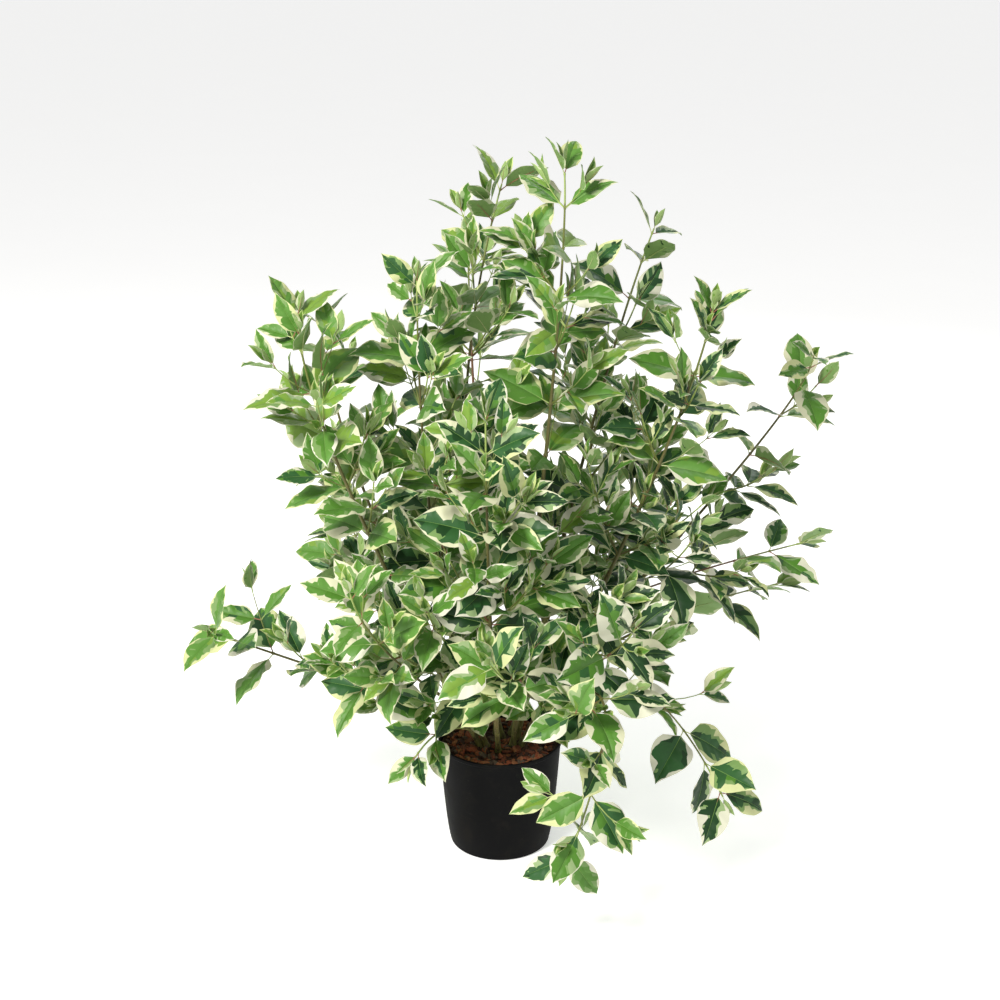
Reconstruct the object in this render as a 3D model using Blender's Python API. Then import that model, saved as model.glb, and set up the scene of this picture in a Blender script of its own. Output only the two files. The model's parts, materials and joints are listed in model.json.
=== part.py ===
"""A variegated shrubby dogwood growing in a round black nursery pot.

Stems rise from flat cuts at the soil, boughs fork from the stems, and every limb ends
in a mass of leafy twigs. Smaller masses grow from the sides of the limbs.
The origin is the middle of the flat underside of the pot, +Z is up and -Y is the front.
"""

import math
import random
from bisect import bisect_right
from typing import NamedTuple

import bmesh
import bpy
from mathutils import Vector
from mathutils.bvhtree import BVHTree

# Clearance between pieces that touch, and the distance at which corners are one
GAP = 0.0003
WELD = 0.000002
SHARP = 35.0

# Pot, in metres
POT_HEIGHT = 0.175
POT_RIM_RADIUS = 0.095
POT_FOOT_RADIUS = 0.076
POT_SWELL = 0.6
POT_WALL = 0.0022
POT_FLOOR = 0.0030
POT_HEEL = 0.004
RIM_ROLL = 0.0012
RIM_DEPTH = 0.007
POT_SIDES = 32
POT_COURSES = 4
DRAIN_HOLES = 6
DRAIN_RADIUS = 0.008
DRAIN_RING = 0.052
DRAIN_SIDES = 8

# Soil, which fills the pot to just under the rim
SOIL_TOP = 0.163
SOIL_EDGE = 0.006
SOIL_SIDES = 24
SOIL_COURSES = 3

# Limbs
LIMB_SIDES = 6
LIMB_COURSES = 4
LIMB_TAPER = 0.72
FOOT_RING = 0.016
FOOT_SPREAD = 0.055
LIMB_SHARP = 70.0
TIP_LEAVES = 0.042
CLEAR_SEARCH = 0.003

# Twigs
TWIG_SIDES = 3
TWIG_LEAST = 0.0014
SHOOT_RADIUS = 0.0018
SHOOT_TIP = 0.0012

# Growth: leaf pairs are closer together towards the tip of a twig
FIRST_PAIR = 0.025
TIP_PAIR = 0.008
TIP_BUD = 0.002
BEND_BELOW = 0.002
PAIR_STEP = 0.078
PAIR_STEP_TIP = 0.044
TIP_STRETCH = 0.150
SHOOT_SHARE = 0.30
SHOOT_LEAST = 0.070
SHOOT_MOST = 0.150
SHOOT_CHANCE = 0.40
SHOOT_SPREAD = (0.8, 1.2)
SHOOT_SWAY = 0.3
SHOOT_ANGLE = 46.0
SHOOT_RISE = 0.30
SHOOT_KNEE = 0.55
SHOOT_ROOM = 0.115

# Leaves
LEAF_CLOSED = 0.050
LEAF_GROWN = 0.098
LEAF_SLIM = 0.20
LEAF_BROAD = 0.78
LEAF_AGE = 0.095
LEAF_WIDEST = 0.48
LEAF_THICK = 0.010
LEAF_KEEL = 0.006
LEAF_FOLD = 0.10
LEAF_DROOP = 0.05
ANGLE_YOUNG = 26.0
ANGLE_GROWN = 64.0
LEAF_SWAY = 0.25
ANGLE_SWAY = 9.0
LEAF_SAG = 0.22
LEAF_SHRINK = 0.06
LEAF_SPREAD = (0.88, 1.10)
LEAF_TRIES = 5
LEVELLING = 0.55
FACE_FRONT = 0.45
FACE_AWAY = 0.60
FACE_IN = 0.25
FACE_ROLL = 0.45
ROOT_FORWARD = 0.25
ROOT_FREE = 0.012

# Side masses
TUFT_LENGTH = 0.200
TUFT_SPREAD = (0.85, 1.15)
TUFT_RADIUS = 0.0018
TUFT_LOW = 0.35
TUFT_HIGH = 0.95
TUFT_TURN = 60.0
TUFT_SWAY = 20.0
TUFT_TRIES = 6
TUFT_KNEE = 0.55
TUFT_LIFT = 0.25
TUFT_RISE = 0.70

# Room kept between the leaves and twigs of different masses, and above the ground
CLEAR = 0.0012
LOWEST = 0.008


class Limb(NamedTuple):
    """A stem or bough: its tip and knee are given by direction, reach and height."""

    name: str
    parent: str
    fork: float
    azimuth: float
    reach: float
    height: float
    knee_turn: float
    knee_reach: float
    knee_height: float
    radius: float
    bare: float
    tufts: int
    seed: int
    young: float = 0.070


# name, parent, fork, then azimuth, reach and height of the tip, turn, reach and height of the knee,
# radius, bare part, side masses, seed and, where it isn't the usual one, the youngest leaves' length
LIMBS = [Limb(*row) for row in [
    ("stem_middle", "soil", 0, -20, 0.09, 1.10, -15, 0.12, 0.93, 0.0046, 0.46, 1, 44),
    ("stem_middle_back", "soil", 0, 80, 0.08, 1.06, 105, 0.11, 0.63, 0.0044, 0.48, 0, 77),
    ("stem_left_middle", "soil", 0, -152, 0.13, 0.95, 15, 0.16, 0.46, 0.0044, 0.42, 1, 33),
    ("stem_right", "soil", 0, -15, 0.31, 0.91, 15, 0.28, 0.68, 0.0046, 0.42, 1, 74, 0.058),
    ("stem_right_back", "soil", 0, 30, 0.28, 0.98, -30, 0.14, 0.76, 0.0044, 0.44, 1, 80),
    ("stem_left", "soil", 0, -160, 0.29, 0.91, 15, 0.34, 0.75, 0.0046, 0.36, 1, 54),
    ("stem_back", "soil", 0, 100, 0.30, 0.94, 0, 0.26, 0.62, 0.0044, 0.42, 1, 37, 0.058),
    ("stem_back_left", "soil", 0, 143, 0.35, 0.83, 0, 0.34, 0.56, 0.0044, 0.40, 1, 78),
    ("stem_back_right", "soil", 0, 62, 0.38, 0.80, 0, 0.36, 0.52, 0.0044, 0.40, 1, 44),
    ("stem_front", "soil", 0, -95, 0.22, 0.80, 0, 0.22, 0.50, 0.0042, 0.34, 1, 0),
    ("bough_left_low", "stem_left", 0.05, -159, 0.44, 0.42, -30, 0.46, 0.32, 0.0032, 0.34, 1, 33, 0.052),
    ("bough_right_far", "stem_right", 0.14, 2, 0.455, 0.79, 30, 0.60, 0.63, 0.0034, 0.40, 1, 40, 0.052),
    ("bough_right_mid", "stem_right_back", 0.12, 11, 0.52, 0.47, 15, 0.08, 0.38, 0.0032, 0.40, 0, 1),
    ("bough_right_low", "stem_right_back", 0.06, 26, 0.56, 0.34, 15, 0.33, 0.30, 0.0030, 0.46, 0, 74, 0.052),
    ("bough_right_hanging", "stem_right", 0.05, -37, 0.42, 0.165, 15, 0.21, 0.42, 0.0030, 0.64, 0, 80, 0.080),
    ("bough_front_hanging", "stem_right", 0.02, -76, 0.34, 0.115, 15, 0.44, 0.57, 0.0030, 0.40, 1, 80, 0.080),
    ("bough_left_rim", "stem_left_middle", 0.04, -127, 0.24, 0.20, 0, 0.14, 0.27, 0.0026, 0.34, 0, 2, 0.064),
    ("bough_front_left", "stem_left_middle", 0.10, -128, 0.34, 0.56, 0, 0.30, 0.42, 0.0030, 0.34, 0, 12),
    ("bough_front_right", "stem_right", 0.10, -58, 0.36, 0.52, 0, 0.32, 0.44, 0.0030, 0.34, 0, 3),
    ("bough_back_low", "stem_back", 0.06, 94, 0.47, 0.42, 0, 0.36, 0.36, 0.0030, 0.36, 0, 51),
    ("bough_back_left_low", "stem_back_left", 0.06, 132, 0.42, 0.48, 0, 0.36, 0.40, 0.0030, 0.36, 0, 62, 0.064),
    ("bough_back_right_low", "stem_back_right", 0.06, 52, 0.47, 0.46, 0, 0.36, 0.38, 0.0030, 0.36, 0, 16),
]]

# Colours as linear RGB, with roughness
POT_BLACK = ((0.011, 0.012, 0.013), 0.55)
SOIL_BROWN = ((0.090, 0.035, 0.020), 0.95)
BARK_OLIVE = ((0.115, 0.085, 0.035), 0.70)
LEAF_GREEN = ((0.130, 0.260, 0.075), 0.45)


def polar(azimuth, reach, height):
    """A point given by its direction in degrees, its distance from the axis and its height."""
    angle = math.radians(azimuth)
    return Vector((reach * math.cos(angle), reach * math.sin(angle), height))


class Route:
    """A smooth curve from a foot to a tip that bends towards a knee between them."""

    STEPS = 48

    def __init__(self, foot, knee, tip):
        self.foot = foot
        self.knee = knee
        self.tip = tip
        points = [self.point(i / self.STEPS) for i in range(self.STEPS + 1)]
        self.marks = [0.0]
        for start, end in zip(points, points[1:]):
            self.marks.append(self.marks[-1] + (end - start).length)
        self.length = self.marks[-1]

    def point(self, share):
        return self.foot.lerp(self.knee, share).lerp(self.knee.lerp(self.tip, share), share)

    def heading(self, share):
        return (self.knee.lerp(self.tip, share) - self.foot.lerp(self.knee, share)).normalized()

    def share(self, distance):
        """The curve's parameter at a distance from the foot."""
        step = min(max(bisect_right(self.marks, distance) - 1, 0), self.STEPS - 1)
        part = (distance - self.marks[step]) / (self.marks[step + 1] - self.marks[step])
        return (step + part) / self.STEPS


def ring(centre, across, along, radius, sides):
    """Corners of a flat ring round a centre: across is one corner's direction, along the axis."""
    side = (across - along * across.dot(along)).normalized()
    other = along.cross(side)
    corners = []
    for i in range(sides):
        angle = math.tau * i / sides
        corners.append(centre + side * (radius * math.cos(angle)) + other * (radius * math.sin(angle)))
    return corners


def tube(rings):
    """Close a row of rings, each with the same number of corners, into a solid."""
    sides = len(rings[0])
    corners = [corner for one in rings for corner in one]
    last = len(rings) - 1
    faces = [list(range(sides))[::-1], [last * sides + i for i in range(sides)]]
    for row in range(last):
        for i in range(sides):
            j = (i + 1) % sides
            base = row * sides
            faces.append([base + i, base + j, base + sides + j, base + sides + i])
    return corners, faces


def make_material(name, finish):
    colour, roughness = finish
    material = bpy.data.materials.new(name)
    material.use_nodes = True
    shader = material.node_tree.nodes["Principled BSDF"]
    shader.inputs["Base Color"].default_value = (*colour, 1.0)
    shader.inputs["Roughness"].default_value = roughness
    shader.inputs["Metallic"].default_value = 0.0
    material.diffuse_color = (*colour, 1.0)
    return material


def make_object(name, solid, material=None):
    corners, faces = solid
    mesh = bpy.data.meshes.new(name)
    mesh.from_pydata([tuple(corner) for corner in corners], [], faces)
    thing = bpy.data.objects.new(name, mesh)
    if material:
        mesh.materials.append(material)
    bpy.context.scene.collection.objects.link(thing)
    return thing


def smooth_sides(thing, sharp_degrees=SHARP):
    thing.data.shade_smooth()
    thing.data.set_sharp_from_angle(angle=math.radians(sharp_degrees))


def combine(base, solids, operation, solver="EXACT"):
    """Add loose solids to a base object, or cut them from it, with one applied Boolean."""
    tools = bpy.data.collections.new("tools")
    bpy.context.scene.collection.children.link(tools)
    for number, (corners, faces) in enumerate(solids):
        mesh = bpy.data.meshes.new(f"tool_{number}")
        mesh.from_pydata([tuple(corner) for corner in corners], [], faces)
        tools.objects.link(bpy.data.objects.new(f"tool_{number}", mesh))
    cut = base.modifiers.new("combine", "BOOLEAN")
    cut.operation = operation
    cut.operand_type = "COLLECTION"
    cut.collection = tools
    cut.solver = solver
    bpy.context.view_layer.update()
    shape = base.evaluated_get(bpy.context.evaluated_depsgraph_get())
    joined = bpy.data.meshes.new_from_object(shape)
    base.modifiers.clear()
    old = base.data
    base.data = joined
    bpy.data.meshes.remove(old)
    for tool in list(tools.objects):
        mesh = tool.data
        bpy.data.objects.remove(tool)
        bpy.data.meshes.remove(mesh)
    bpy.data.collections.remove(tools)


def keep_outer_body(thing):
    """Drop loose scraps and the walls of sealed hollows: only the body with the most faces stays."""
    work = bmesh.new()
    work.from_mesh(thing.data)
    bmesh.ops.remove_doubles(work, verts=work.verts, dist=WELD)
    bmesh.ops.dissolve_degenerate(work, edges=work.edges, dist=WELD)
    seen = set()
    bodies = []
    for start in work.faces:
        if start in seen:
            continue
        seen.add(start)
        body = [start]
        for face in body:
            for edge in face.edges:
                for other in edge.link_faces:
                    if other not in seen:
                        seen.add(other)
                        body.append(other)
        bodies.append(body)
    biggest = max(bodies, key=len)
    loose = [face for body in bodies if body is not biggest for face in body]
    bmesh.ops.delete(work, geom=loose, context="FACES")
    work.to_mesh(thing.data)
    work.free()


def is_closed(mesh):
    """True where every edge has two faces and the faces round each corner are one fan."""
    work = bmesh.new()
    work.from_mesh(mesh)
    closed = all(edge.is_manifold for edge in work.edges) and all(corner.is_manifold for corner in work.verts)
    work.free()
    return closed


def pot_radius(height):
    """Outer radius of the pot's wall, which swells a little above its foot."""
    return POT_FOOT_RADIUS + (POT_RIM_RADIUS - POT_FOOT_RADIUS) * (height / POT_HEIGHT) ** POT_SWELL


def turned(profile, sides):
    """Turn a profile of radius and height, from the axis out and back to it, into a solid."""
    work = bmesh.new()
    previous = None
    for radius, height in profile:
        corner = work.verts.new((radius, 0, height))
        if previous:
            work.edges.new((previous, corner))
        previous = corner
    bmesh.ops.spin(work, geom=work.verts[:] + work.edges[:], cent=(0, 0, 0), axis=(0, 0, 1),
                   angle=math.tau, steps=sides, use_merge=True)
    bmesh.ops.remove_doubles(work, verts=work.verts, dist=WELD)
    bmesh.ops.recalc_face_normals(work, faces=work.faces)
    mesh = bpy.data.meshes.new("turned")
    work.to_mesh(mesh)
    solid = [corner.co.copy() for corner in mesh.vertices], [list(face.vertices) for face in mesh.polygons]
    work.free()
    bpy.data.meshes.remove(mesh)
    return solid


def make_pot():
    wall = POT_HEIGHT - RIM_DEPTH - POT_HEEL
    heights = [POT_HEEL + wall * i / POT_COURSES for i in range(POT_COURSES + 1)]
    outside = [(0, 0), (POT_FOOT_RADIUS - POT_HEEL / 2, 0)] + [(pot_radius(z), z) for z in heights]
    rim = POT_RIM_RADIUS + RIM_ROLL
    outside += [(rim, POT_HEIGHT - RIM_DEPTH + RIM_ROLL), (rim, POT_HEIGHT - RIM_ROLL)]
    lip = [(rim - RIM_ROLL, POT_HEIGHT), (POT_RIM_RADIUS - POT_WALL, POT_HEIGHT)]
    inside = [(pot_radius(z) - POT_WALL, z) for z in heights[1:-1][::-1]]
    floor = [(pot_radius(POT_HEEL) - POT_WALL - POT_HEEL / 2, POT_FLOOR), (0, POT_FLOOR)]
    shape = turned(outside + lip + inside + floor, POT_SIDES)
    pot = make_object("pot", shape, make_material("pot_black", POT_BLACK))
    holes = []
    for i in range(DRAIN_HOLES):
        middle = polar(360 * i / DRAIN_HOLES, DRAIN_RING, 0)
        ends = [middle + Vector((0, 0, z)) for z in (-POT_FLOOR, 2 * POT_FLOOR)]
        rings = [ring(end, Vector((1, 0, 0)), Vector((0, 0, 1)), DRAIN_RADIUS, DRAIN_SIDES) for end in ends]
        holes.append(tube(rings))
    combine(pot, holes, "DIFFERENCE")
    smooth_sides(pot)
    return pot


def make_soil():
    """The soil is cut GAP clear of the pot, which is faceted, so its corners stay inside the flats."""
    shrink = math.cos(math.pi / POT_SIDES)
    bottom = POT_FLOOR + GAP
    profile = [(0, bottom), ((pot_radius(POT_HEEL) - POT_WALL - POT_HEEL / 2) * shrink - 3 * GAP, bottom)]
    low = POT_HEEL + (POT_HEIGHT - RIM_DEPTH - POT_HEEL) / POT_COURSES
    for i in range(SOIL_COURSES + 1):
        height = low + (SOIL_TOP - SOIL_EDGE - low) * i / SOIL_COURSES
        profile.append((inner_radius(height) * shrink - 3 * GAP, height))
    profile += [(inner_radius(SOIL_TOP) * shrink - SOIL_EDGE, SOIL_TOP), (0, SOIL_TOP)]
    soil = make_object("soil", turned(profile, SOIL_SIDES), make_material("soil_brown", SOIL_BROWN))
    smooth_sides(soil)
    return soil


def inner_radius(height):
    """Inner radius of the pot as it is built, straight between its courses."""
    step = (POT_HEIGHT - RIM_DEPTH - POT_HEEL) / POT_COURSES
    course = min(int((height - POT_HEEL) / step), POT_COURSES - 1)
    below = POT_HEEL + course * step
    part = (height - below) / step
    return pot_radius(below) * (1 - part) + pot_radius(below + step) * part - POT_WALL


class Space:
    """Remembers the solids that are placed, so that a new one can be kept clear of other pieces."""

    def __init__(self):
        self.placed = []

    @staticmethod
    def box(corners):
        low = [min(corner[i] for corner in corners) for i in range(3)]
        high = [max(corner[i] for corner in corners) for i in range(3)]
        return low, high

    def add(self, owner, solid):
        corners, faces = solid
        low, high = self.box(corners)
        self.placed.append((owner, low, high, BVHTree.FromPolygons(corners, faces)))

    def is_free(self, solid, counts):
        """True where the solid meets no piece whose owner counts."""
        corners, faces = solid
        low, high = self.box(corners)
        shape = None
        for owner, its_low, its_high, tree in self.placed:
            if not counts(owner):
                continue
            if any(low[i] > its_high[i] or high[i] < its_low[i] for i in range(3)):
                continue
            shape = shape or BVHTree.FromPolygons(corners, faces)
            if shape.overlap(tree):
                return False
        return True


def limb_route(limb, routes):
    """The limb's curve: its wood ends a little before the tips of the young leaves that crown it."""
    knee = polar(limb.azimuth + limb.knee_turn, limb.knee_reach, limb.knee_height)
    tip = polar(limb.azimuth, limb.reach, limb.height)
    tip -= (tip - knee).normalized() * TIP_LEAVES
    if limb.parent == "soil":
        foot = polar(limb.azimuth, FOOT_RING + FOOT_SPREAD * limb.reach, SOIL_TOP + GAP)
    else:
        foot = routes[limb.parent].point(limb.fork)
    return Route(foot, knee, tip)


def limb_radius(limb, share):
    return limb.radius * (1 - LIMB_TAPER * share)


def across_of(limb):
    """A level direction square to the plane in which the limb leans."""
    return polar(limb.azimuth + 90, 1, 0)


def first_clear(route, carrier, across, radius, sides):
    """Distance along a route at which a flat end first stands GAP clear of the solid that carries it."""
    tree = BVHTree.FromPolygons(*carrier)
    distance = 0.0
    nearest = 0.0
    inside = True
    while inside or nearest < GAP:
        distance += GAP / 2
        share = route.share(distance)
        corners = ring(route.point(share), across, route.heading(share), radius, sides)
        corners += [a.lerp(b, 0.5) for a, b in zip(corners, corners[1:] + corners[:1])]
        nearest = CLEAR_SEARCH
        inside = False
        for corner in corners:
            spot, normal, _, gap = tree.find_nearest(corner)
            nearest = min(nearest, gap)
            inside = inside or (corner - spot).dot(normal) < 0
    return distance


def limb_solid(limb, route, carrier):
    """A bare limb: from a flat cut on the soil, or clear of the stem it forks from, to its mass."""
    across = across_of(limb)
    start = 0.0
    if carrier:
        start = first_clear(route, carrier, across, limb.radius, LIMB_SIDES)
    end = route.length * limb.bare
    rings = []
    for i in range(LIMB_COURSES + 1):
        share = route.share(start + (end - start) * i / LIMB_COURSES)
        along = route.heading(share)
        if i == 0 and not carrier:
            along = Vector((0, 0, 1))
        rings.append(ring(route.point(share), across, along, limb_radius(limb, share), LIMB_SIDES))
    return tube(rings)


class Twig(NamedTuple):
    """A leafy twig: its route, how far along it the wood starts, its two radii and its leaves' turn."""

    route: Route
    start: float
    thick: float
    thin: float
    across: Vector
    turn: float
    young: float


def twig_radius(twig, distance):
    return twig.thick + (twig.thin - twig.thick) * distance / twig.route.length


def twig_solid(twig, spare=0.0):
    """The twig's wood: it bends just below each leaf pair, so that all the leaves are rooted in it."""
    bends = [distance - BEND_BELOW for distance in pair_distances(twig)[:0:-1]]
    rings = []
    for distance in [twig.start] + bends + [twig.route.length - TIP_PAIR + TIP_BUD]:
        share = twig.route.share(distance)
        radius = twig_radius(twig, distance) + spare
        centre = twig.route.point(share)
        rings.append(ring(centre, twig.across, twig.route.heading(share), radius, TWIG_SIDES))
    return tube(rings)


def pair_distances(twig):
    """Where the leaf pairs stand on a twig: the first is at the tip, and they spread out below it."""
    distances = []
    length = twig.route.length
    distance = length - TIP_PAIR
    while distance > twig.start + FIRST_PAIR:
        distances.append(distance)
        distance -= PAIR_STEP_TIP + (PAIR_STEP - PAIR_STEP_TIP) * min(1, (length - distance) / TIP_STRETCH)
    return distances


def axil(twig, distance, angle):
    """The place where a leaf or shoot starts: its point, the twig's heading and the way outwards."""
    share = twig.route.share(distance)
    along = twig.route.heading(share)
    side = (twig.across - along * twig.across.dot(along)).normalized()
    outward = side * math.cos(angle) + along.cross(side) * math.sin(angle)
    outward.z *= 1 - LEVELLING * math.hypot(along.x, along.y)
    outward = (outward - along * outward.dot(along)).normalized()
    return twig.route.point(share), along, outward


def turned_towards(along, outward, degrees):
    angle = math.radians(degrees)
    return along * math.cos(angle) + outward * math.sin(angle)


def side_shoots(twig, chance):
    """Shoots from the leaf axils of a main twig, shorter towards its tip."""
    shoots = []
    for number, distance in enumerate(pair_distances(twig)):
        room = twig.route.length - distance
        for half in (0, 1):
            length = min(SHOOT_MOST, max(SHOOT_LEAST, SHOOT_SHARE * room)) * chance.uniform(*SHOOT_SPREAD)
            angle = twig.turn + math.pi / 2 * number + math.pi * half
            angle += chance.uniform(-SHOOT_SWAY, SHOOT_SWAY)
            turn = chance.uniform(0, math.pi)
            grows = chance.random() < SHOOT_CHANCE
            if room > SHOOT_ROOM and grows:
                point, along, outward = axil(twig, distance, angle)
                heading = turned_towards(along, outward, SHOOT_ANGLE)
                tip = point + heading * length + Vector((0, 0, SHOOT_RISE * length))
                route = Route(point, point + heading * length * SHOOT_KNEE, tip)
                across = outward.cross(along)
                shoots.append(Twig(route, 0.0, SHOOT_RADIUS, SHOOT_TIP, across, turn, twig.young))
    return shoots


def leaf_solid(root, heading, facing, length, width, spare=0.0):
    """A folded leaf of eight faces, thickest along its midrib; spare makes it larger all round."""
    side = heading.cross(facing).normalized()
    up = side.cross(heading)
    half = LEAF_THICK * length / 2 + spare
    middle = root + heading * (LEAF_WIDEST * length)
    lift = up * (LEAF_FOLD * width)
    reach = side * (width / 2 + spare)
    tip = root + heading * (length + spare) - up * (LEAF_DROOP * length)
    keel = root - up * half
    keel = keel.lerp(tip, LEAF_WIDEST) - up * (LEAF_KEEL * length)
    corners = [root + up * half, root - up * half, middle + reach + lift, middle - reach + lift, tip, keel]
    faces = [(0, 2, 4), (0, 4, 3), (1, 5, 2), (5, 4, 2), (1, 3, 5), (3, 4, 5), (0, 1, 2), (1, 0, 3)]
    return corners, faces


def leaf_measures(twig, distance, angle, chance, attempt):
    """Root, heading, facing and size of a leaf: young ones near the tip are small, slim and upright."""
    age = min(1, (twig.route.length - distance) / LEAF_AGE)
    angle += chance.uniform(-LEAF_SWAY, LEAF_SWAY) * (1 + attempt)
    point, along, outward = axil(twig, distance, angle)
    length = twig.young + (LEAF_GROWN - twig.young) * age
    opened = (length - LEAF_CLOSED) / (LEAF_GROWN - LEAF_CLOSED)
    degrees = ANGLE_YOUNG + (ANGLE_GROWN - ANGLE_YOUNG) * opened + chance.uniform(-ANGLE_SWAY, ANGLE_SWAY)
    heading = turned_towards(along, outward, degrees)
    heading.z -= LEAF_SAG * opened
    heading.normalize()
    away = Vector((point.x, point.y, 0)).normalized()
    facing = Vector((0, -FACE_FRONT, 1)) + away * FACE_AWAY - outward * FACE_IN
    facing += Vector([chance.uniform(-FACE_ROLL, FACE_ROLL) for _ in range(3)])
    length *= chance.uniform(*LEAF_SPREAD) * (1 - LEAF_SHRINK * attempt)
    width = length * (LEAF_SLIM + (LEAF_BROAD - LEAF_SLIM) * min(1, length / LEAF_GROWN))
    root = point + heading * (twig_radius(twig, distance) * ROOT_FORWARD)
    return root, heading, facing, length, width


class Mass:
    """One mass of foliage: a main twig, its side shoots and their leaves, in a space of its own."""

    def __init__(self, name, main, seed):
        self.name = name
        self.seed = seed
        self.main = main
        self.shoots = []
        self.leaves = []

    def grow_shoots(self, space):
        for shoot in side_shoots(self.main, random.Random(f"shoots {self.name} {self.seed}")):
            if self.keeps_clear(twig_solid(shoot, CLEAR), space):
                self.shoots.append(shoot)
                space.add(self.name, twig_solid(shoot))

    def grow_leaves(self, space):
        chance = random.Random(f"leaves {self.name} {self.seed}")
        for twig in [self.main] + self.shoots:
            for number, distance in enumerate(pair_distances(twig)):
                for half in (0, 1):
                    angle = twig.turn + math.pi / 2 * number + math.pi * half
                    self.grow_leaf(twig, distance, angle, chance, space)

    def grow_leaf(self, twig, distance, angle, chance, space):
        for attempt in range(LEAF_TRIES):
            root, heading, facing, length, width = leaf_measures(twig, distance, angle, chance, attempt)
            blade = leaf_solid(root + heading * ROOT_FREE, heading, facing, length - ROOT_FREE, width, CLEAR)
            whole = leaf_solid(root, heading, facing, length, width, CLEAR)
            if self.keeps_clear(whole, space) and space.is_free(blade, lambda owner: owner == self.name):
                self.leaves.append(leaf_solid(root, heading, facing, length, width))
                space.add(self.name, self.leaves[-1])
                return

    def keeps_clear(self, solid, space):
        """True where a solid is off the ground and clear of the pot, the limbs and the other masses."""
        lowest = min(corner.z for corner in solid[0])
        return lowest > LOWEST and space.is_free(solid, lambda owner: owner != self.name)

    def build(self, material):
        """Join the twigs and leaves, by the other solver where the first leaves the mass open."""
        thing = self.join(material, "EXACT")
        if not is_closed(thing.data):
            bpy.data.objects.remove(thing)
            self.join(material, "MANIFOLD")

    def join(self, material, solver):
        thing = make_object(self.name, twig_solid(self.main), material)
        shoots = [twig_solid(shoot) for shoot in self.shoots]
        combine(thing, shoots + self.leaves, "UNION", solver)
        keep_outer_body(thing)
        return thing


def end_mass(limb, route):
    """The mass that a limb ends in, which carries on along the limb's own curve."""
    start = route.length * limb.bare + GAP
    end_radius = limb_radius(limb, route.share(start))
    thin = max(TWIG_LEAST, limb_radius(limb, 1))
    # Thickness runs over the whole route, so the foot of the twig matches the end of the limb
    thick = thin + (end_radius - thin) / (1 - limb.bare)
    turn = random.Random(f"turn {limb.name} {limb.seed}").uniform(0, math.pi)
    twig = Twig(route, start, thick, thin, across_of(limb), turn, limb.young)
    return Mass(f"foliage_{limb.name}", twig, limb.seed)


def side_mass(limb, route, carrier, number, left, space):
    """A smaller mass on the side of a limb: its twig leaves the limb outwards, turns up and meets nothing."""
    chance = random.Random(f"side {limb.name} {number} {limb.seed}")
    height = TUFT_LOW + (TUFT_HIGH - TUFT_LOW) * (number + 0.5) / limb.tufts
    foot = route.point(route.share(route.length * limb.bare * height))
    length = TUFT_LENGTH * chance.uniform(*TUFT_SPREAD)
    turn = chance.uniform(0, math.pi)
    for attempt in range(TUFT_TRIES):
        sway = chance.uniform(-TUFT_SWAY, TUFT_SWAY) * (1 + attempt)
        azimuth = limb.azimuth + (1 if left else -1) * TUFT_TURN + sway
        knee = foot + polar(azimuth, TUFT_KNEE * length, TUFT_LIFT * length)
        path = Route(foot, knee, foot + polar(azimuth, length, TUFT_RISE * length))
        across = polar(azimuth + 90, 1, 0)
        start = first_clear(path, carrier, across, TUFT_RADIUS, TWIG_SIDES)
        twig = Twig(path, start, TUFT_RADIUS, TWIG_LEAST, across, turn, limb.young)
        if space.is_free(twig_solid(twig, CLEAR), lambda owner: owner != limb.name):
            break
    return Mass(f"foliage_side_{limb.name}", twig, limb.seed)


def grow_masses(limbs, routes, solids, space):
    """Every limb's end mass, then the side masses, each kept clear of what was placed before it."""
    masses = [end_mass(limb, routes[limb.name]) for limb in limbs]
    for mass in masses:
        space.add(mass.name, twig_solid(mass.main))
    for place, limb in enumerate(limbs):
        for number in range(limb.tufts):
            left = (place + number) % 2 == 0
            side = side_mass(limb, routes[limb.name], solids[limb.name], number, left, space)
            space.add(side.name, twig_solid(side.main))
            masses.append(side)
    for mass in masses:
        mass.grow_shoots(space)
    for mass in masses:
        mass.grow_leaves(space)
    return masses


def mesh_solid(thing):
    corners = [corner.co.copy() for corner in thing.data.vertices]
    return corners, [list(face.vertices) for face in thing.data.polygons]


def main():
    for thing in list(bpy.data.objects):
        bpy.data.objects.remove(thing)
    space = Space()
    for thing in (make_pot(), make_soil()):
        space.add(thing.name, mesh_solid(thing))
    routes = {}
    solids = {}
    bark = make_material("bark_olive", BARK_OLIVE)
    for limb in LIMBS:
        routes[limb.name] = limb_route(limb, routes)
        solids[limb.name] = limb_solid(limb, routes[limb.name], solids.get(limb.parent))
        smooth_sides(make_object(limb.name, solids[limb.name], bark), LIMB_SHARP)
        space.add(limb.name, solids[limb.name])
    leaf = make_material("leaf_green", LEAF_GREEN)
    for mass in grow_masses(LIMBS, routes, solids, space):
        mass.build(leaf)


main()
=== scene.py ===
"""A variegated dogwood in a black nursery pot, dressed round its fixed frame.

The limbs get bark, and the leafy twigs grow on from them by one seeded rule, carried on to
sprigs and tip leaves. The pot, its compost and the bark chips on top get their own finish.
All sizes are in metres. The origin is under the middle of the pot, +Z is up and -Y is the front.
"""

import json
import math
import random
from bisect import bisect_right
from typing import NamedTuple

import bpy
import numpy as np
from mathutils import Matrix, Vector, noise
from mathutils.bvhtree import BVHTree

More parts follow.
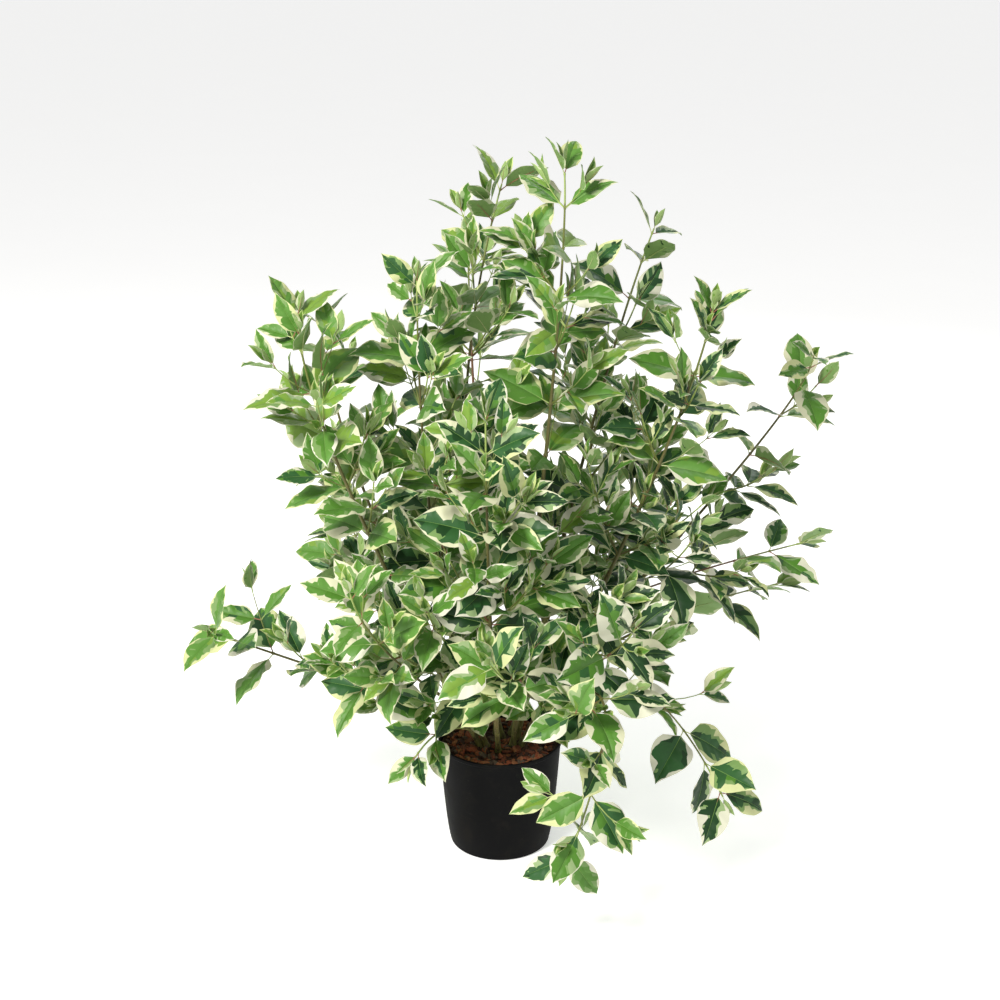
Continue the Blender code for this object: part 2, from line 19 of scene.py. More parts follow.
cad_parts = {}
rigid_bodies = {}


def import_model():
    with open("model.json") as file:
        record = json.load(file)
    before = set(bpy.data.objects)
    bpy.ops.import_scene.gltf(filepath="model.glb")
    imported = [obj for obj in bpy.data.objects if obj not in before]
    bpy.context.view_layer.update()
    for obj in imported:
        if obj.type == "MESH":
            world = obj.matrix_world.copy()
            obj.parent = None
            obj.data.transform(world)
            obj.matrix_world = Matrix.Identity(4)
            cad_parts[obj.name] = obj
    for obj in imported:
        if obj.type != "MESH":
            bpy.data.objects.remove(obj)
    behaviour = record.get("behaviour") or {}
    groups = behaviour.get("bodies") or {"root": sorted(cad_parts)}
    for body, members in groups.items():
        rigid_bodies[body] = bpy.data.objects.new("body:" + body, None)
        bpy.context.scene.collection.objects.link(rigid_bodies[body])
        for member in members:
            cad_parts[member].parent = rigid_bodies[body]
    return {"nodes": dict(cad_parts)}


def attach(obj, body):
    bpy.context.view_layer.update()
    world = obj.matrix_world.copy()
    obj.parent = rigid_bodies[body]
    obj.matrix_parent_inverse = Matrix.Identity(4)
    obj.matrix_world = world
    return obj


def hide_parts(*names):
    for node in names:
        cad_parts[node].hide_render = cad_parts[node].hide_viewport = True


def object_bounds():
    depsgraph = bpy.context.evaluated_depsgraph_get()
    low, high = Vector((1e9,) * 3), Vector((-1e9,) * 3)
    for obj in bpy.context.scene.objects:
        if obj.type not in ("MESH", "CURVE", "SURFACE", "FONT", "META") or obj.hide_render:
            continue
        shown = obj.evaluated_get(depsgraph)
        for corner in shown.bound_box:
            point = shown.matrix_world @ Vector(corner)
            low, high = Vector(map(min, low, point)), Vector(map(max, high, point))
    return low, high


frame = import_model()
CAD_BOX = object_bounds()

# Clearance between pieces that touch
GAP = 0.0003

# Pot
POT_HEIGHT = 0.175
POT_RIM_RADIUS = 0.095
POT_FOOT_RADIUS = 0.076
POT_SWELL = 0.6
POT_WALL = 0.0022
POT_FLOOR = 0.0030
POT_HEEL = 0.004
RIM_ROLL = 0.0012
RIM_DEPTH = 0.007
RIM_BEAD = 0.0008
RIM_BEAD_RISE = 0.0018
POT_SIDES = 144
POT_COURSES = 22
HEEL_STEPS = 7
BEAD_STEPS = 4
LIP_STEPS = 12
DRAIN_HOLES = 6
DRAIN_RADIUS = 0.008
DRAIN_RING = 0.052
DRAIN_SIDES = 24

# Compost and the bark chips that lie on it
SOIL_TOP = 0.163
SOIL_SINK = 0.0015
SOIL_HEAVE = 0.0016
SOIL_LUMPS = 60
LUMP_LAYER = 3
SOIL_CRUMBS = 240
CRUMB_LAYER = 9
CRUMB_SHARE = 0.6
SOIL_SIDES = 96
SOIL_COURSES = 10
SOIL_RINGS = 26
CHIPS = 520
CHIP_LENGTH = (0.008, 0.024)
CHIP_SLIM = (0.35, 0.7)
CHIP_THICK = (0.0018, 0.0042)
CHIP_TILT = 0.35
CHIP_TOP = 0.169
CHIP_LIFT = (-0.001, 0.0035)
CHIP_OFF_WALL = 0.0015
CHIP_OFF_FOOT = 0.006
CHIP_OFF_RIM = 0.002
CHIP_CORNERS = (5, 8)
CHIP_SKEW = 0.25
CHIP_UNEVEN = (0.72, 1.0)
CHIP_ROUGH = 0.06
# Height and breadth of each layer of a chip, as shares of its thickness and of its outline
CHIP_LAYERS = ((-0.5, 0.86), (-0.2, 1.0), (0.3, 0.98), (0.5, 0.80))

# Limbs
LIMB_TAPER = 0.72
FOOT_RING = 0.016
FOOT_SPREAD = 0.055
TIP_LEAVES = 0.042
CLEAR_SEARCH = 0.003

# Bark relief on the limbs: each pattern is given by its fineness round the limb and along it
BARK_SIDES = 18
BARK_COURSE = 0.0045
BARK_RIDGES = 0.07
RIDGE_PATTERN = (2.2, 22)
GRAIN_PATTERN = (5, 160)
GRAIN_SHARE = 0.5
FOOT_SUNK = 0.004
FOOT_FLARE = 0.45
FOOT_FLARE_RISE = 0.018
NODE_STEP = 0.085
NODE_SWELL = 0.22
NODE_HALF = 0.004

# Twigs of the frame, whose shape decides what is clear of what
TWIG_SIDES = 3
TWIG_LEAST = 0.0014
SHOOT_RADIUS = 0.0018
SHOOT_TIP = 0.0012

# Real twigs: a little slimmer, with a knuckle at every leaf pair
TWIG_SLIM = 0.86
TWIG_SUNK = 0.004
KNUCKLE_SWELL = 0.35
KNUCKLE_HALF = 0.002
KNUCKLE_ROOM = 0.004
KNUCKLE_RINGS = (-0.0028, -0.0010, 0.0010, 0.0028)
TWIG_COURSES = 3
# Distance between the rings and sides of a ring, on main twigs, shoots and sprigs
TWIG_GRADES = ((0.012, 8), (0.014, 6), (0.016, 5))

# Bark of the twigs: how far from the tip each shade ends, and on a few twigs, where red begins
GREEN_TO = 0.05
OLIVE_TO = 0.14
RED_CHANCE = 0.15
RED_TWIG_GREEN_TO = 0.03
RED_TWIG_OLIVE_TO = 0.10

# Growth: leaf pairs are closer together towards the tip of a twig
FIRST_PAIR = 0.025
TIP_PAIR = 0.008
TIP_BUD = 0.002
BEND_BELOW = 0.002
PAIR_STEP = 0.078
PAIR_STEP_TIP = 0.044
TIP_STRETCH = 0.150
SHOOT_SHARE = 0.30
SHOOT_LEAST = 0.070
SHOOT_MOST = 0.150
SHOOT_CHANCE = 0.40
SHOOT_SPREAD = (0.8, 1.2)
SHOOT_SWAY = 0.3
SHOOT_ANGLE = 46.0
SHOOT_RISE = 0.30
SHOOT_KNEE = 0.55
SHOOT_ROOM = 0.115

# Leaves
LEAF_CLOSED = 0.050
LEAF_GROWN = 0.098
LEAF_SLIM = 0.20
LEAF_BROAD = 0.78
LEAF_AGE = 0.095
LEAF_WIDEST = 0.48
LEAF_THICK = 0.010
LEAF_KEEL = 0.006
LEAF_FOLD = 0.10
LEAF_DROOP = 0.05
ANGLE_YOUNG = 26.0
ANGLE_GROWN = 64.0
LEAF_SWAY = 0.25
ANGLE_SWAY = 9.0
LEAF_SAG = 0.22
LEAF_SHRINK = 0.06
LEAF_SPREAD = (0.88, 1.10)
LEAF_TRIES = 5
LEVELLING = 0.55
FACE_FRONT = 0.45
FACE_AWAY = 0.60
FACE_IN = 0.25
FACE_ROLL = 0.45
ROOT_FORWARD = 0.25
ROOT_FREE = 0.012

# Side masses
TUFT_LENGTH = 0.200
TUFT_SPREAD = (0.85, 1.15)
TUFT_RADIUS = 0.0018
TUFT_LOW = 0.35
TUFT_HIGH = 0.95
TUFT_TURN = 60.0
TUFT_SWAY = 20.0
TUFT_TRIES = 6
TUFT_KNEE = 0.55
TUFT_LIFT = 0.25
TUFT_RISE = 0.70

# Room kept between the leaves and twigs of different masses, and above the ground
CLEAR = 0.0012
LOWEST = 0.008

# How far the finer growth may reach out of the frame's box
OVERREACH = 0.028

# Limbs that end nearer the axis than this belong to the middle of the plant
MIDDLE_REACH = 0.15

# Finer growth: sprigs from the leaf axils and from the upper bark, and the last pair at every tip
SPRIG_CHANCE = 0.94
SPRIG_LENGTH = (0.036, 0.095)
SPRIG_ROOM = 0.60
SPRIG_LEAST = 0.022
SPRIG_TRIES = 4
SPRIG_SHORTER = 0.80
SPRIG_ANGLE = 52.0
SPRIG_RADIUS = 0.0012
SPRIG_TIP = 0.0008
SPRIG_YOUNG = 0.060
LIMB_SPRIG_LOW = 0.42
LIMB_SPRIG_STEP = 0.050
LIMB_SPRIG_CHANCE = 0.75
LIMB_SPRIG_ROOM = 1.6
BUD_LENGTH = (0.030, 0.046)
BUD_SLIM = 0.50
BUD_SHORTER = 0.80
BUD_ANGLE = 15.0
BUD_SWAY = 4.0
BUD_FORWARD = 0.3

# Greens of a spray: partly by chance, and partly painted light and shade, lighter towards the upper left
TONE_CHANCE = 0.55
PAINTED_LIGHT_ACROSS = 0.85
PAINTED_LIGHT_UP = 0.65
PAINTED_LIGHT_MIDDLE = 0.62

# Share of the cream in a leaf: largest low on the plant, and less with the height
CREAM_LOW = 1.30
CREAM_LESS = 0.85

# Cream margins, whose width changes from one vein to the next
MARGIN_LEAST = 0.15
MARGIN_MORE = 0.23
MARGIN_BIAS = 1.2
MARGIN_STEP = 2.2
MARGIN_UNEVEN = 1.6
MARGIN_LIMITS = (0.045, 0.80)
TOOTH_SWAY = (-0.10, 0.16)
TOOTH_LEAST = 0.4
TOOTH_WIDE = 2.5
PALE_TIP = 0.4
PALE_TIP_FROM = 0.80
PALE_TIP_BIAS = 1.5
INNER_GREEN = (0.30, 0.80)
INNER_SWAY = 0.08

# How the finishes are dealt out: a blade less open than YOUNG_BELOW counts as young, and the OUTER
# and INNER values are limits of the draw for each vein sector
YOUNG_BELOW = 0.45
TONE_SPREAD = 0.16
STREAK_CHANCE = 0.30
OUTER_MAIN = 0.44
OUTER_OTHER = 0.56
OUTER_CREAM = 0.95
INNER_MAIN = 0.78

# Real leaf blades
PETIOLE = 0.11
BLADE_SHARE = 0.74
BLADE_RISE = 0.62
BLADE_FALL = 0.92
TIP_FROM = 0.74
TIP_DRAWN = 0.45
TIP_BIAS = 1.5
TIP_CURL = (0.00, 0.07)
BLADE_ROWS = 15
BUD_ROWS = 6
SMALL_LEAF = 0.044
VEIN_ROWS = 3
VEIN_BEND = 0.45
VEIN_CURVE = 1.3
VEIN_RELIEF = 0.0013
VEIN_SUNK = -1.0
VEIN_RAISED = 0.5
RIB_HALF = 0.0004
RIB_MOST = 0.3
RIB_TAPER = 1.2
RIB_GROOVE = 0.0004
BLADE_THICK = 0.0005
BLADE_THINNER = 0.5
FOLD_GROWN = 0.20
FOLD_YOUNG = 0.42
FOLD_SWAY = (-0.06, 0.08)
BLADE_OPENS = 0.6
BLADE_ARCH = (0.00, 0.10)
BLADE_DROOP = (0.02, 0.11)
YOUNG_LIFT = 0.05
BLADE_TWIST = 0.35
TWIST_FROM = 0.3
BLADE_SICKLE = 0.05
EDGE_ROLL = 0.10
EDGE_WAVE = (0.03, 0.14)
EDGE_WAVES = (1.4, 2.8)
EDGE_SHIFT = 1.3
MOST_LEAVES = 400

# Leaf stalks: rings from the twig to where the keel fades out under the blade
STALK_SIDES = 5
STALK_PLACES = (-PETIOLE, -PETIOLE / 2, 0.0, 0.14, 0.34, 0.60)
STALK_RADII = (0.00105, 0.00085, 0.00075, 0.00060, 0.00042, 0.00022)
STALK_YOUNG = 0.45
KEEL_FROM = 0.01
KEEL_SUNK = 0.4

# The blades of each side of the plant draw their shapes from seeds this far apart
SIDE_SEED = 100

# Camera and light
PHOTO_SIDE = 1000
FOCAL_PIXELS = 1732.0
SENSOR = 36.0
CAMERA_PLACE = (0.0, -2.425, 1.411)
CAMERA_DOWN = 19.24
VIEW_LIMIT = 200.0
FLOOR_SIDE = 90.0
FLOOR_GLOW = 0.36
SKY_STRENGTH = 0.54
# name, place, what it points at, size, power and colour of each lamp
LAMPS = (
    ("key", (-1.7, -2.2, 2.9), (0, 0, 0.6), 1.0, 150.0, (1.0, 0.985, 0.94)),
    ("fill", (2.4, -1.6, 1.4), (0, 0, 0.5), 1.8, 8.0, (0.95, 0.98, 1.0)),
    ("back", (0.8, 2.4, 2.2), (0, 0, 0.7), 1.4, 20.0, (1.0, 1.0, 1.0)),
)


class Limb(NamedTuple):
    """A stem or bough: its tip and knee are given by direction, reach and height."""

    name: str
    parent: str
    fork: float
    azimuth: float
    reach: float
    height: float
    knee_turn: float
    knee_reach: float
    knee_height: float
    radius: float
    bare: float
    tufts: int
    seed: int
    young: float = 0.070


# name, parent, fork, then azimuth, reach and height of the tip, turn, reach and height of the knee,
# radius, bare part, side masses, seed and, where it isn't the usual one, the youngest leaves' length
LIMBS = [Limb(*row) for row in [
    ("stem_middle", "soil", 0, -20, 0.09, 1.10, -15, 0.12, 0.93, 0.0046, 0.46, 1, 44),
    ("stem_middle_back", "soil", 0, 80, 0.08, 1.06, 105, 0.11, 0.63, 0.0044, 0.48, 0, 77),
    ("stem_left_middle", "soil", 0, -152, 0.13, 0.95, 15, 0.16, 0.46, 0.0044, 0.42, 1, 33),
    ("stem_right", "soil", 0, -15, 0.31, 0.91, 15, 0.28, 0.68, 0.0046, 0.42, 1, 74, 0.058),
    ("stem_right_back", "soil", 0, 30, 0.28, 0.98, -30, 0.14, 0.76, 0.0044, 0.44, 1, 80),
    ("stem_left", "soil", 0, -160, 0.29, 0.91, 15, 0.34, 0.75, 0.0046, 0.36, 1, 54),
    ("stem_back", "soil", 0, 100, 0.30, 0.94, 0, 0.26, 0.62, 0.0044, 0.42, 1, 37, 0.058),
    ("stem_back_left", "soil", 0, 143, 0.35, 0.83, 0, 0.34, 0.56, 0.0044, 0.40, 1, 78),
    ("stem_back_right", "soil", 0, 62, 0.38, 0.80, 0, 0.36, 0.52, 0.0044, 0.40, 1, 44),
    ("stem_front", "soil", 0, -95, 0.22, 0.80, 0, 0.22, 0.50, 0.0042, 0.34, 1, 0),
    ("bough_left_low", "stem_left", 0.05, -159, 0.44, 0.42, -30, 0.46, 0.32, 0.0032, 0.34, 1, 33, 0.052),
    ("bough_right_far", "stem_right", 0.14, 2, 0.455, 0.79, 30, 0.60, 0.63, 0.0034, 0.4, 1, 40, 0.052),
    ("bough_right_mid", "stem_right_back", 0.12, 11, 0.52, 0.47, 15, 0.08, 0.38, 0.0032, 0.40, 0, 1),
    ("bough_right_low", "stem_right_back", 0.06, 26, 0.56, 0.34, 15, 0.33, 0.3, 0.003, 0.46, 0, 74, 0.052),
    ("bough_right_hanging", "stem_right", 0.05, -37, 0.42, 0.165, 15, 0.21, 0.42, 0.003, 0.64, 0, 80, 0.08),
    ("bough_front_hanging", "stem_right", 0.02, -76, 0.34, 0.115, 15, 0.44, 0.57, 0.003, 0.4, 1, 80, 0.08),
    ("bough_left_rim", "stem_left_middle", 0.04, -127, 0.24, 0.2, 0, 0.14, 0.27, 0.0026, 0.34, 0, 2, 0.064),
    ("bough_front_left", "stem_left_middle", 0.10, -128, 0.34, 0.56, 0, 0.30, 0.42, 0.0030, 0.34, 0, 12),
    ("bough_front_right", "stem_right", 0.10, -58, 0.36, 0.52, 0, 0.32, 0.44, 0.0030, 0.34, 0, 3),
    ("bough_back_low", "stem_back", 0.06, 94, 0.47, 0.42, 0, 0.36, 0.36, 0.0030, 0.36, 0, 51),
    ("bough_back_left_low", "stem_back_left", 0.06, 132, 0.42, 0.48, 0, 0.36, 0.4, 0.003, 0.36, 0, 62, 0.064),
    ("bough_back_right_low", "stem_back_right", 0.06, 52, 0.47, 0.46, 0, 0.36, 0.38, 0.0030, 0.36, 0, 16),
]]

# Limbs whose foliage is looser, with the chance of a sprig there
LOOSE_LIMBS = {
    "bough_right_mid": 0.05, "bough_right_low": 0.05, "bough_right_hanging": 0.10,
    "bough_right_far": 0.25, "bough_left_low": 0.15, "bough_back_right_low": 0.40,
    "bough_front_left": 0.75, "bough_front_right": 0.75, "stem_middle_back": 0.25,
    "stem_back": 0.50, "stem_back_left": 0.40, "stem_left": 0.65,
    "stem_right_back": 0.45, "stem_back_right": 0.60, "stem_middle": 0.80,
}

# Finishes, as eyedropper colours with a roughness. Those of the leaves are dealt out by spray, by leaf
# and by the part of the leaf
# Greens from dark to light: a spray's tone picks among them, so the dark ones also stand for painted shade
# and the light ones for painted sunlight
LEAF_GREENS = {
    "leaf_deep": (26, 60, 26),
    "leaf_cool": (44, 86, 42),
    "leaf_mid": (76, 122, 40),
    "leaf_fresh": (86, 131, 52),
    "leaf_lime": (110, 143, 52),
}
LEAF_GREYS = {
    "leaf_grey": (112, 142, 82),
    "leaf_silver": (140, 162, 112),
}
LEAF_CREAMS = {
    "margin_cream": (200, 200, 168),
    "margin_ivory": (210, 209, 187),
    "margin_lemon": (195, 199, 146),
}
LEAF_OTHERS = {
    "leaf_young": (110, 144, 60),
    "margin_young": (192, 202, 134),
    # Undersides: paler than the tops, and lighter still as painted light shining through the leaf from behind
    "underside_young": (140, 166, 100),
    "underside_green": (120, 151, 88),
    "underside_cream": (189, 196, 159),
    "midrib": (116, 150, 76),
}
LEAF_COLOURS = {**LEAF_GREENS, **LEAF_GREYS, **LEAF_CREAMS, **LEAF_OTHERS}
LEAF_ROUGHNESS = 0.48
LEAF_SHEEN = 0.30

TWIG_COLOURS = {
    "twig_red": (104, 70, 42),
    "twig_brown": (90, 86, 42),
    "twig_olive": (106, 114, 52),
    "twig_green": (142, 160, 84),
}
TWIG_ROUGHNESS = 0.5
PETIOLE_COLOURS = {
    "petiole_green": (158, 176, 104),
    "petiole_pale": (190, 196, 142),
    "petiole_red": (150, 96, 76),
}
CHIP_COLOURS = {
    "chip_red": (140, 74, 50),
    "chip_brown": (104, 56, 38),
    "chip_dark": (60, 36, 28),
    "chip_tan": (146, 92, 62),
    "chip_grey": (96, 80, 68),
}
CHIP_ROUGHNESS = 0.85
CHIP_SHEEN = 0.3

# Places on a pattern from its dark to its light parts, with the colour there
BARK_SHADES = ((0.28, (58, 54, 26)), (0.46, (88, 82, 38)), (0.62, (108, 106, 52)), (0.78, (134, 130, 76)))
COMPOST_SHADES = ((0.30, (30, 19, 15)), (0.50, (62, 36, 26)), (0.68, (104, 62, 44)))


def colour(red, green, blue):
    """An eyedropper colour as the linear values that a shader takes."""
    parts = [part / 255 for part in (red, green, blue)]
    return tuple(part / 12.92 if part <= 0.04045 else ((part + 0.055) / 1.055) ** 2.4 for part in parts)


def polar(azimuth, reach, height):
    """A point given by its direction in degrees, its distance from the axis and its height."""
    angle = math.radians(azimuth)
    return Vector((reach * math.cos(angle), reach * math.sin(angle), height))


class Route:
    """A smooth curve from a foot to a tip that bends towards a knee between them."""

    STEPS = 48

    def __init__(self, foot, knee, tip):
        self.foot = foot
        self.knee = knee
        self.tip = tip
        points = [self.point(i / self.STEPS) for i in range(self.STEPS + 1)]
        self.marks = [0.0]
        for start, end in zip(points, points[1:]):
            self.marks.append(self.marks[-1] + (end - start).length)
        self.length = self.marks[-1]

    def point(self, share):
        """The point at a share of the curve, from 0 at the foot to 1 at the tip."""
        return self.foot.lerp(self.knee, share).lerp(self.knee.lerp(self.tip, share), share)

    def heading(self, share):
        """The way the curve runs at a share of it."""
        return (self.knee.lerp(self.tip, share) - self.foot.lerp(self.knee, share)).normalized()

    def share(self, distance):
        """The share of the curve at a distance from the foot, measured along it."""
        step = min(max(bisect_right(self.marks, distance) - 1, 0), self.STEPS - 1)
        part = (distance - self.marks[step]) / (self.marks[step + 1] - self.marks[step])
        return (step + part) / self.STEPS


def square_to(along, across):
    """The direction square to along that is nearest to across."""
    return (across - along * across.dot(along)).normalized()


def ring(centre, across, along, radius, sides):
    """Corners of a flat ring round a centre: across is one corner's direction, along the axis."""
    side = square_to(along, across)
    other = along.cross(side)
    corners = []
    for i in range(sides):
        angle = math.tau * i / sides
        corners.append(centre + side * (radius * math.cos(angle)) + other * (radius * math.sin(angle)))
    return corners


def tube_faces(rows, sides):
    """Faces that close a row of rings into a solid: its two ends, then the courses between the rings."""
    last = rows - 1
    faces = [list(range(sides))[::-1], [last * sides + i for i in range(sides)]]
    for row in range(last):
        for i in range(sides):
            j = (i + 1) % sides
            base = row * sides
            faces.append([base + i, base + j, base + sides + j, base + sides + i])
    return faces


def tube(rings):
    """A solid through a row of rings, closed at both ends."""
    return [corner for one in rings for corner in one], tube_faces(len(rings), len(rings[0]))


class Space:
    """Remembers the solids that are placed, so that a new one can be kept clear of other pieces."""

    def __init__(self):
        self.placed = []

    @staticmethod
    def box(corners):
        low = [min(corner[i] for corner in corners) for i in range(3)]
        high = [max(corner[i] for corner in corners) for i in range(3)]
        return low, high

    def add(self, owner, solid):
        corners, faces = solid
        low, high = self.box(corners)
        self.placed.append((owner, low, high, BVHTree.FromPolygons(corners, faces)))

    def is_free(self, solid, counts):
        """True where the solid meets no piece whose owner counts."""
        corners, faces = solid
        low, high = self.box(corners)
        shape = None
        for owner, its_low, its_high, tree in self.placed:
            if any(low[i] > its_high[i] or high[i] < its_low[i] for i in range(3)):
                continue
            if not counts(owner):
                continue
            shape = shape or BVHTree.FromPolygons(corners, faces)
            if shape.overlap(tree):
                return False
        return True


def limb_route(limb, routes):
    """The limb's curve: its wood ends a little before the tips of the young leaves that crown it."""
    knee = polar(limb.azimuth + limb.knee_turn, limb.knee_reach, limb.knee_height)
    tip = polar(limb.azimuth, limb.reach, limb.height)
    tip -= (tip - knee).normalized() * TIP_LEAVES
    if limb.parent == "soil":
        foot = polar(limb.azimuth, FOOT_RING + FOOT_SPREAD * limb.reach, SOIL_TOP + GAP)
    else:
        foot = routes[limb.parent].point(limb.fork)
    return Route(foot, knee, tip)


def limb_radius(limb, share):
    """Radius of a limb, which tapers evenly from its foot to its tip."""
    return limb.radius * (1 - LIMB_TAPER * share)


def across_of(limb):
    """A level direction square to the plane in which the limb leans."""
    return polar(limb.azimuth + 90, 1, 0)


def first_clear(route, carrier, across, radius, sides):
    """Distance along a route at which a flat end first stands GAP clear of the solid that carries it."""
    tree = BVHTree.FromPolygons(*carrier)
    distance = 0.0
    nearest = 0.0
    inside = True
    while inside or nearest < GAP:
        distance += GAP / 2
        share = route.share(distance)
        corners = ring(route.point(share), across, route.heading(share), radius, sides)
        corners += [a.lerp(b, 0.5) for a, b in zip(corners, corners[1:] + corners[:1])]
        nearest = CLEAR_SEARCH
        inside = False
        for corner in corners:
            spot, normal, _, gap = tree.find_nearest(corner)
            nearest = min(nearest, gap)
            inside = inside or (corner - spot).dot(normal) < 0
    return distance


class Twig(NamedTuple):
    """A leafy twig: its route, where its wood starts, its radii, the way across it and its leaves' turn.

    Its youngest leaves, at the tip, have the length young.
    """

    route: Route
    start: float
    thick: float
    thin: float
    across: Vector
    turn: float
    young: float


def twig_radius(twig, distance):
    """Radius of a twig, which tapers evenly over its whole route."""
    return twig.thick + (twig.thin - twig.thick) * distance / twig.route.length


def twig_solid(twig, spare=0.0):
    """The twig's wood: it bends just below each leaf pair, so that all the leaves are rooted in it."""
    bends = [distance - BEND_BELOW for distance in pair_distances(twig)[:0:-1]]
    rings = []
    for distance in [twig.start] + bends + [twig.route.length - TIP_PAIR + TIP_BUD]:
        share = twig.route.share(distance)
        radius = twig_radius(twig, distance) + spare
        centre = twig.route.point(share)
        rings.append(ring(centre, twig.across, twig.route.heading(share), radius, TWIG_SIDES))
    return tube(rings)


def pair_distances(twig):
    """Where the leaf pairs stand on a twig: the first is at the tip, and they spread out below it."""
    distances = []
    length = twig.route.length
    distance = length - TIP_PAIR
    while distance > twig.start + FIRST_PAIR:
        distances.append(distance)
        distance -= PAIR_STEP_TIP + (PAIR_STEP - PAIR_STEP_TIP) * min(1, (length - distance) / TIP_STRETCH)
    return distances


def pair_angles(twig, number):
    """How far the two leaves of a pair are turned round their twig: square to the pair before."""
    return [twig.turn + math.pi / 2 * number + math.pi * half for half in (0, 1)]


def axils(twig):
    """Every leaf axil of a twig from the tip down, as its distance along the twig and its angle."""
    return [(distance, angle) for number, distance in enumerate(pair_distances(twig))
            for angle in pair_angles(twig, number)]


def axil(twig, distance, angle):
    """The place where a leaf or shoot starts: its point, the twig's heading and the way outwards."""
    share = twig.route.share(distance)
    along = twig.route.heading(share)
    side = square_to(along, twig.across)
    outward = side * math.cos(angle) + along.cross(side) * math.sin(angle)
    outward.z *= 1 - LEVELLING * math.hypot(along.x, along.y)
    return twig.route.point(share), along, square_to(along, outward)


def turned_towards(along, outward, degrees):
    """A direction that leans from the twig's heading outwards."""
    angle = math.radians(degrees)
    return along * math.cos(angle) + outward * math.sin(angle)


def branch(twig, distance, angle, degrees, length):
    """The route of a shoot or sprig that leaves an axil and turns up, and the way across it."""
    point, along, outward = axil(twig, distance, angle)
    heading = turned_towards(along, outward, degrees)
    tip = point + heading * length + Vector((0, 0, SHOOT_RISE * length))
    return Route(point, point + heading * length * SHOOT_KNEE, tip), outward.cross(along)


def side_shoots(twig, chance):
    """Shoots from the leaf axils of a main twig, shorter towards its tip."""
    shoots = []
    for distance, angle in axils(twig):
        room = twig.route.length - distance
        length = min(SHOOT_MOST, max(SHOOT_LEAST, SHOOT_SHARE * room)) * chance.uniform(*SHOOT_SPREAD)
        angle += chance.uniform(-SHOOT_SWAY, SHOOT_SWAY)
        turn = chance.uniform(0, math.pi)
        grows = chance.random() < SHOOT_CHANCE
        if room > SHOOT_ROOM and grows:
            route, across = branch(twig, distance, angle, SHOOT_ANGLE, length)
            shoots.append(Twig(route, 0.0, SHOOT_RADIUS, SHOOT_TIP, across, turn, twig.young))
    return shoots


def leaf_solid(root, heading, facing, length, width, spare=0.0):
    """A folded leaf of eight faces, thickest along its midrib; spare makes it larger all round."""
    side = heading.cross(facing).normalized()
    up = side.cross(heading)
    half = LEAF_THICK * length / 2 + spare
    middle = root + heading * (LEAF_WIDEST * length)
    lift = up * (LEAF_FOLD * width)
    reach = side * (width / 2 + spare)
    tip = root + heading * (length + spare) - up * (LEAF_DROOP * length)
    keel = root - up * half
    keel = keel.lerp(tip, LEAF_WIDEST) - up * (LEAF_KEEL * length)
    corners = [root + up * half, root - up * half, middle + reach + lift, middle - reach + lift, tip, keel]
    faces = [(0, 2, 4), (0, 4, 3), (1, 5, 2), (5, 4, 2), (1, 3, 5), (3, 4, 5), (0, 1, 2), (1, 0, 3)]
    return corners, faces


def leaf_measures(twig, distance, angle, chance, attempt):
    """Root, heading, facing and size of a leaf: young ones near the tip are small, slim and upright."""
    age = min(1, (twig.route.length - distance) / LEAF_AGE)
    angle += chance.uniform(-LEAF_SWAY, LEAF_SWAY) * (1 + attempt)
    point, along, outward = axil(twig, distance, angle)
    length = twig.young + (LEAF_GROWN - twig.young) * age
    opened = (length - LEAF_CLOSED) / (LEAF_GROWN - LEAF_CLOSED)
    degrees = ANGLE_YOUNG + (ANGLE_GROWN - ANGLE_YOUNG) * opened
    degrees += chance.uniform(-ANGLE_SWAY, ANGLE_SWAY)
    heading = turned_towards(along, outward, degrees)
    heading.z -= LEAF_SAG * opened
    heading.normalize()
    away = Vector((point.x, point.y, 0)).normalized()
    facing = Vector((0, -FACE_FRONT, 1)) + away * FACE_AWAY - outward * FACE_IN
    facing += Vector([chance.uniform(-FACE_ROLL, FACE_ROLL) for _ in range(3)])
    length *= chance.uniform(*LEAF_SPREAD) * (1 - LEAF_SHRINK * attempt)
    width = length * (LEAF_SLIM + (LEAF_BROAD - LEAF_SLIM) * min(1, length / LEAF_GROWN))
    root = point + heading * (twig_radius(twig, distance) * ROOT_FORWARD)
    return root, heading, facing, length, width


class Leaf(NamedTuple):
    """One leaf from its root on the twig, with the tone of the spray that it grows in, painted light
    included.
    """

    root: Vector
    heading: Vector
    facing: Vector
    length: float
    width: float
    tone: float

    def is_bud(self):
        """True for the small leaves, which need fewer faces."""
        return self.length < SMALL_LEAF


def within_reach(points):
    """True where no point lies further out of the frame's box than the finer growth may."""
    low, high = CAD_BOX
    return all(low[i] - OVERREACH < point[i] < high[i] + OVERREACH for point in points for i in range(3))


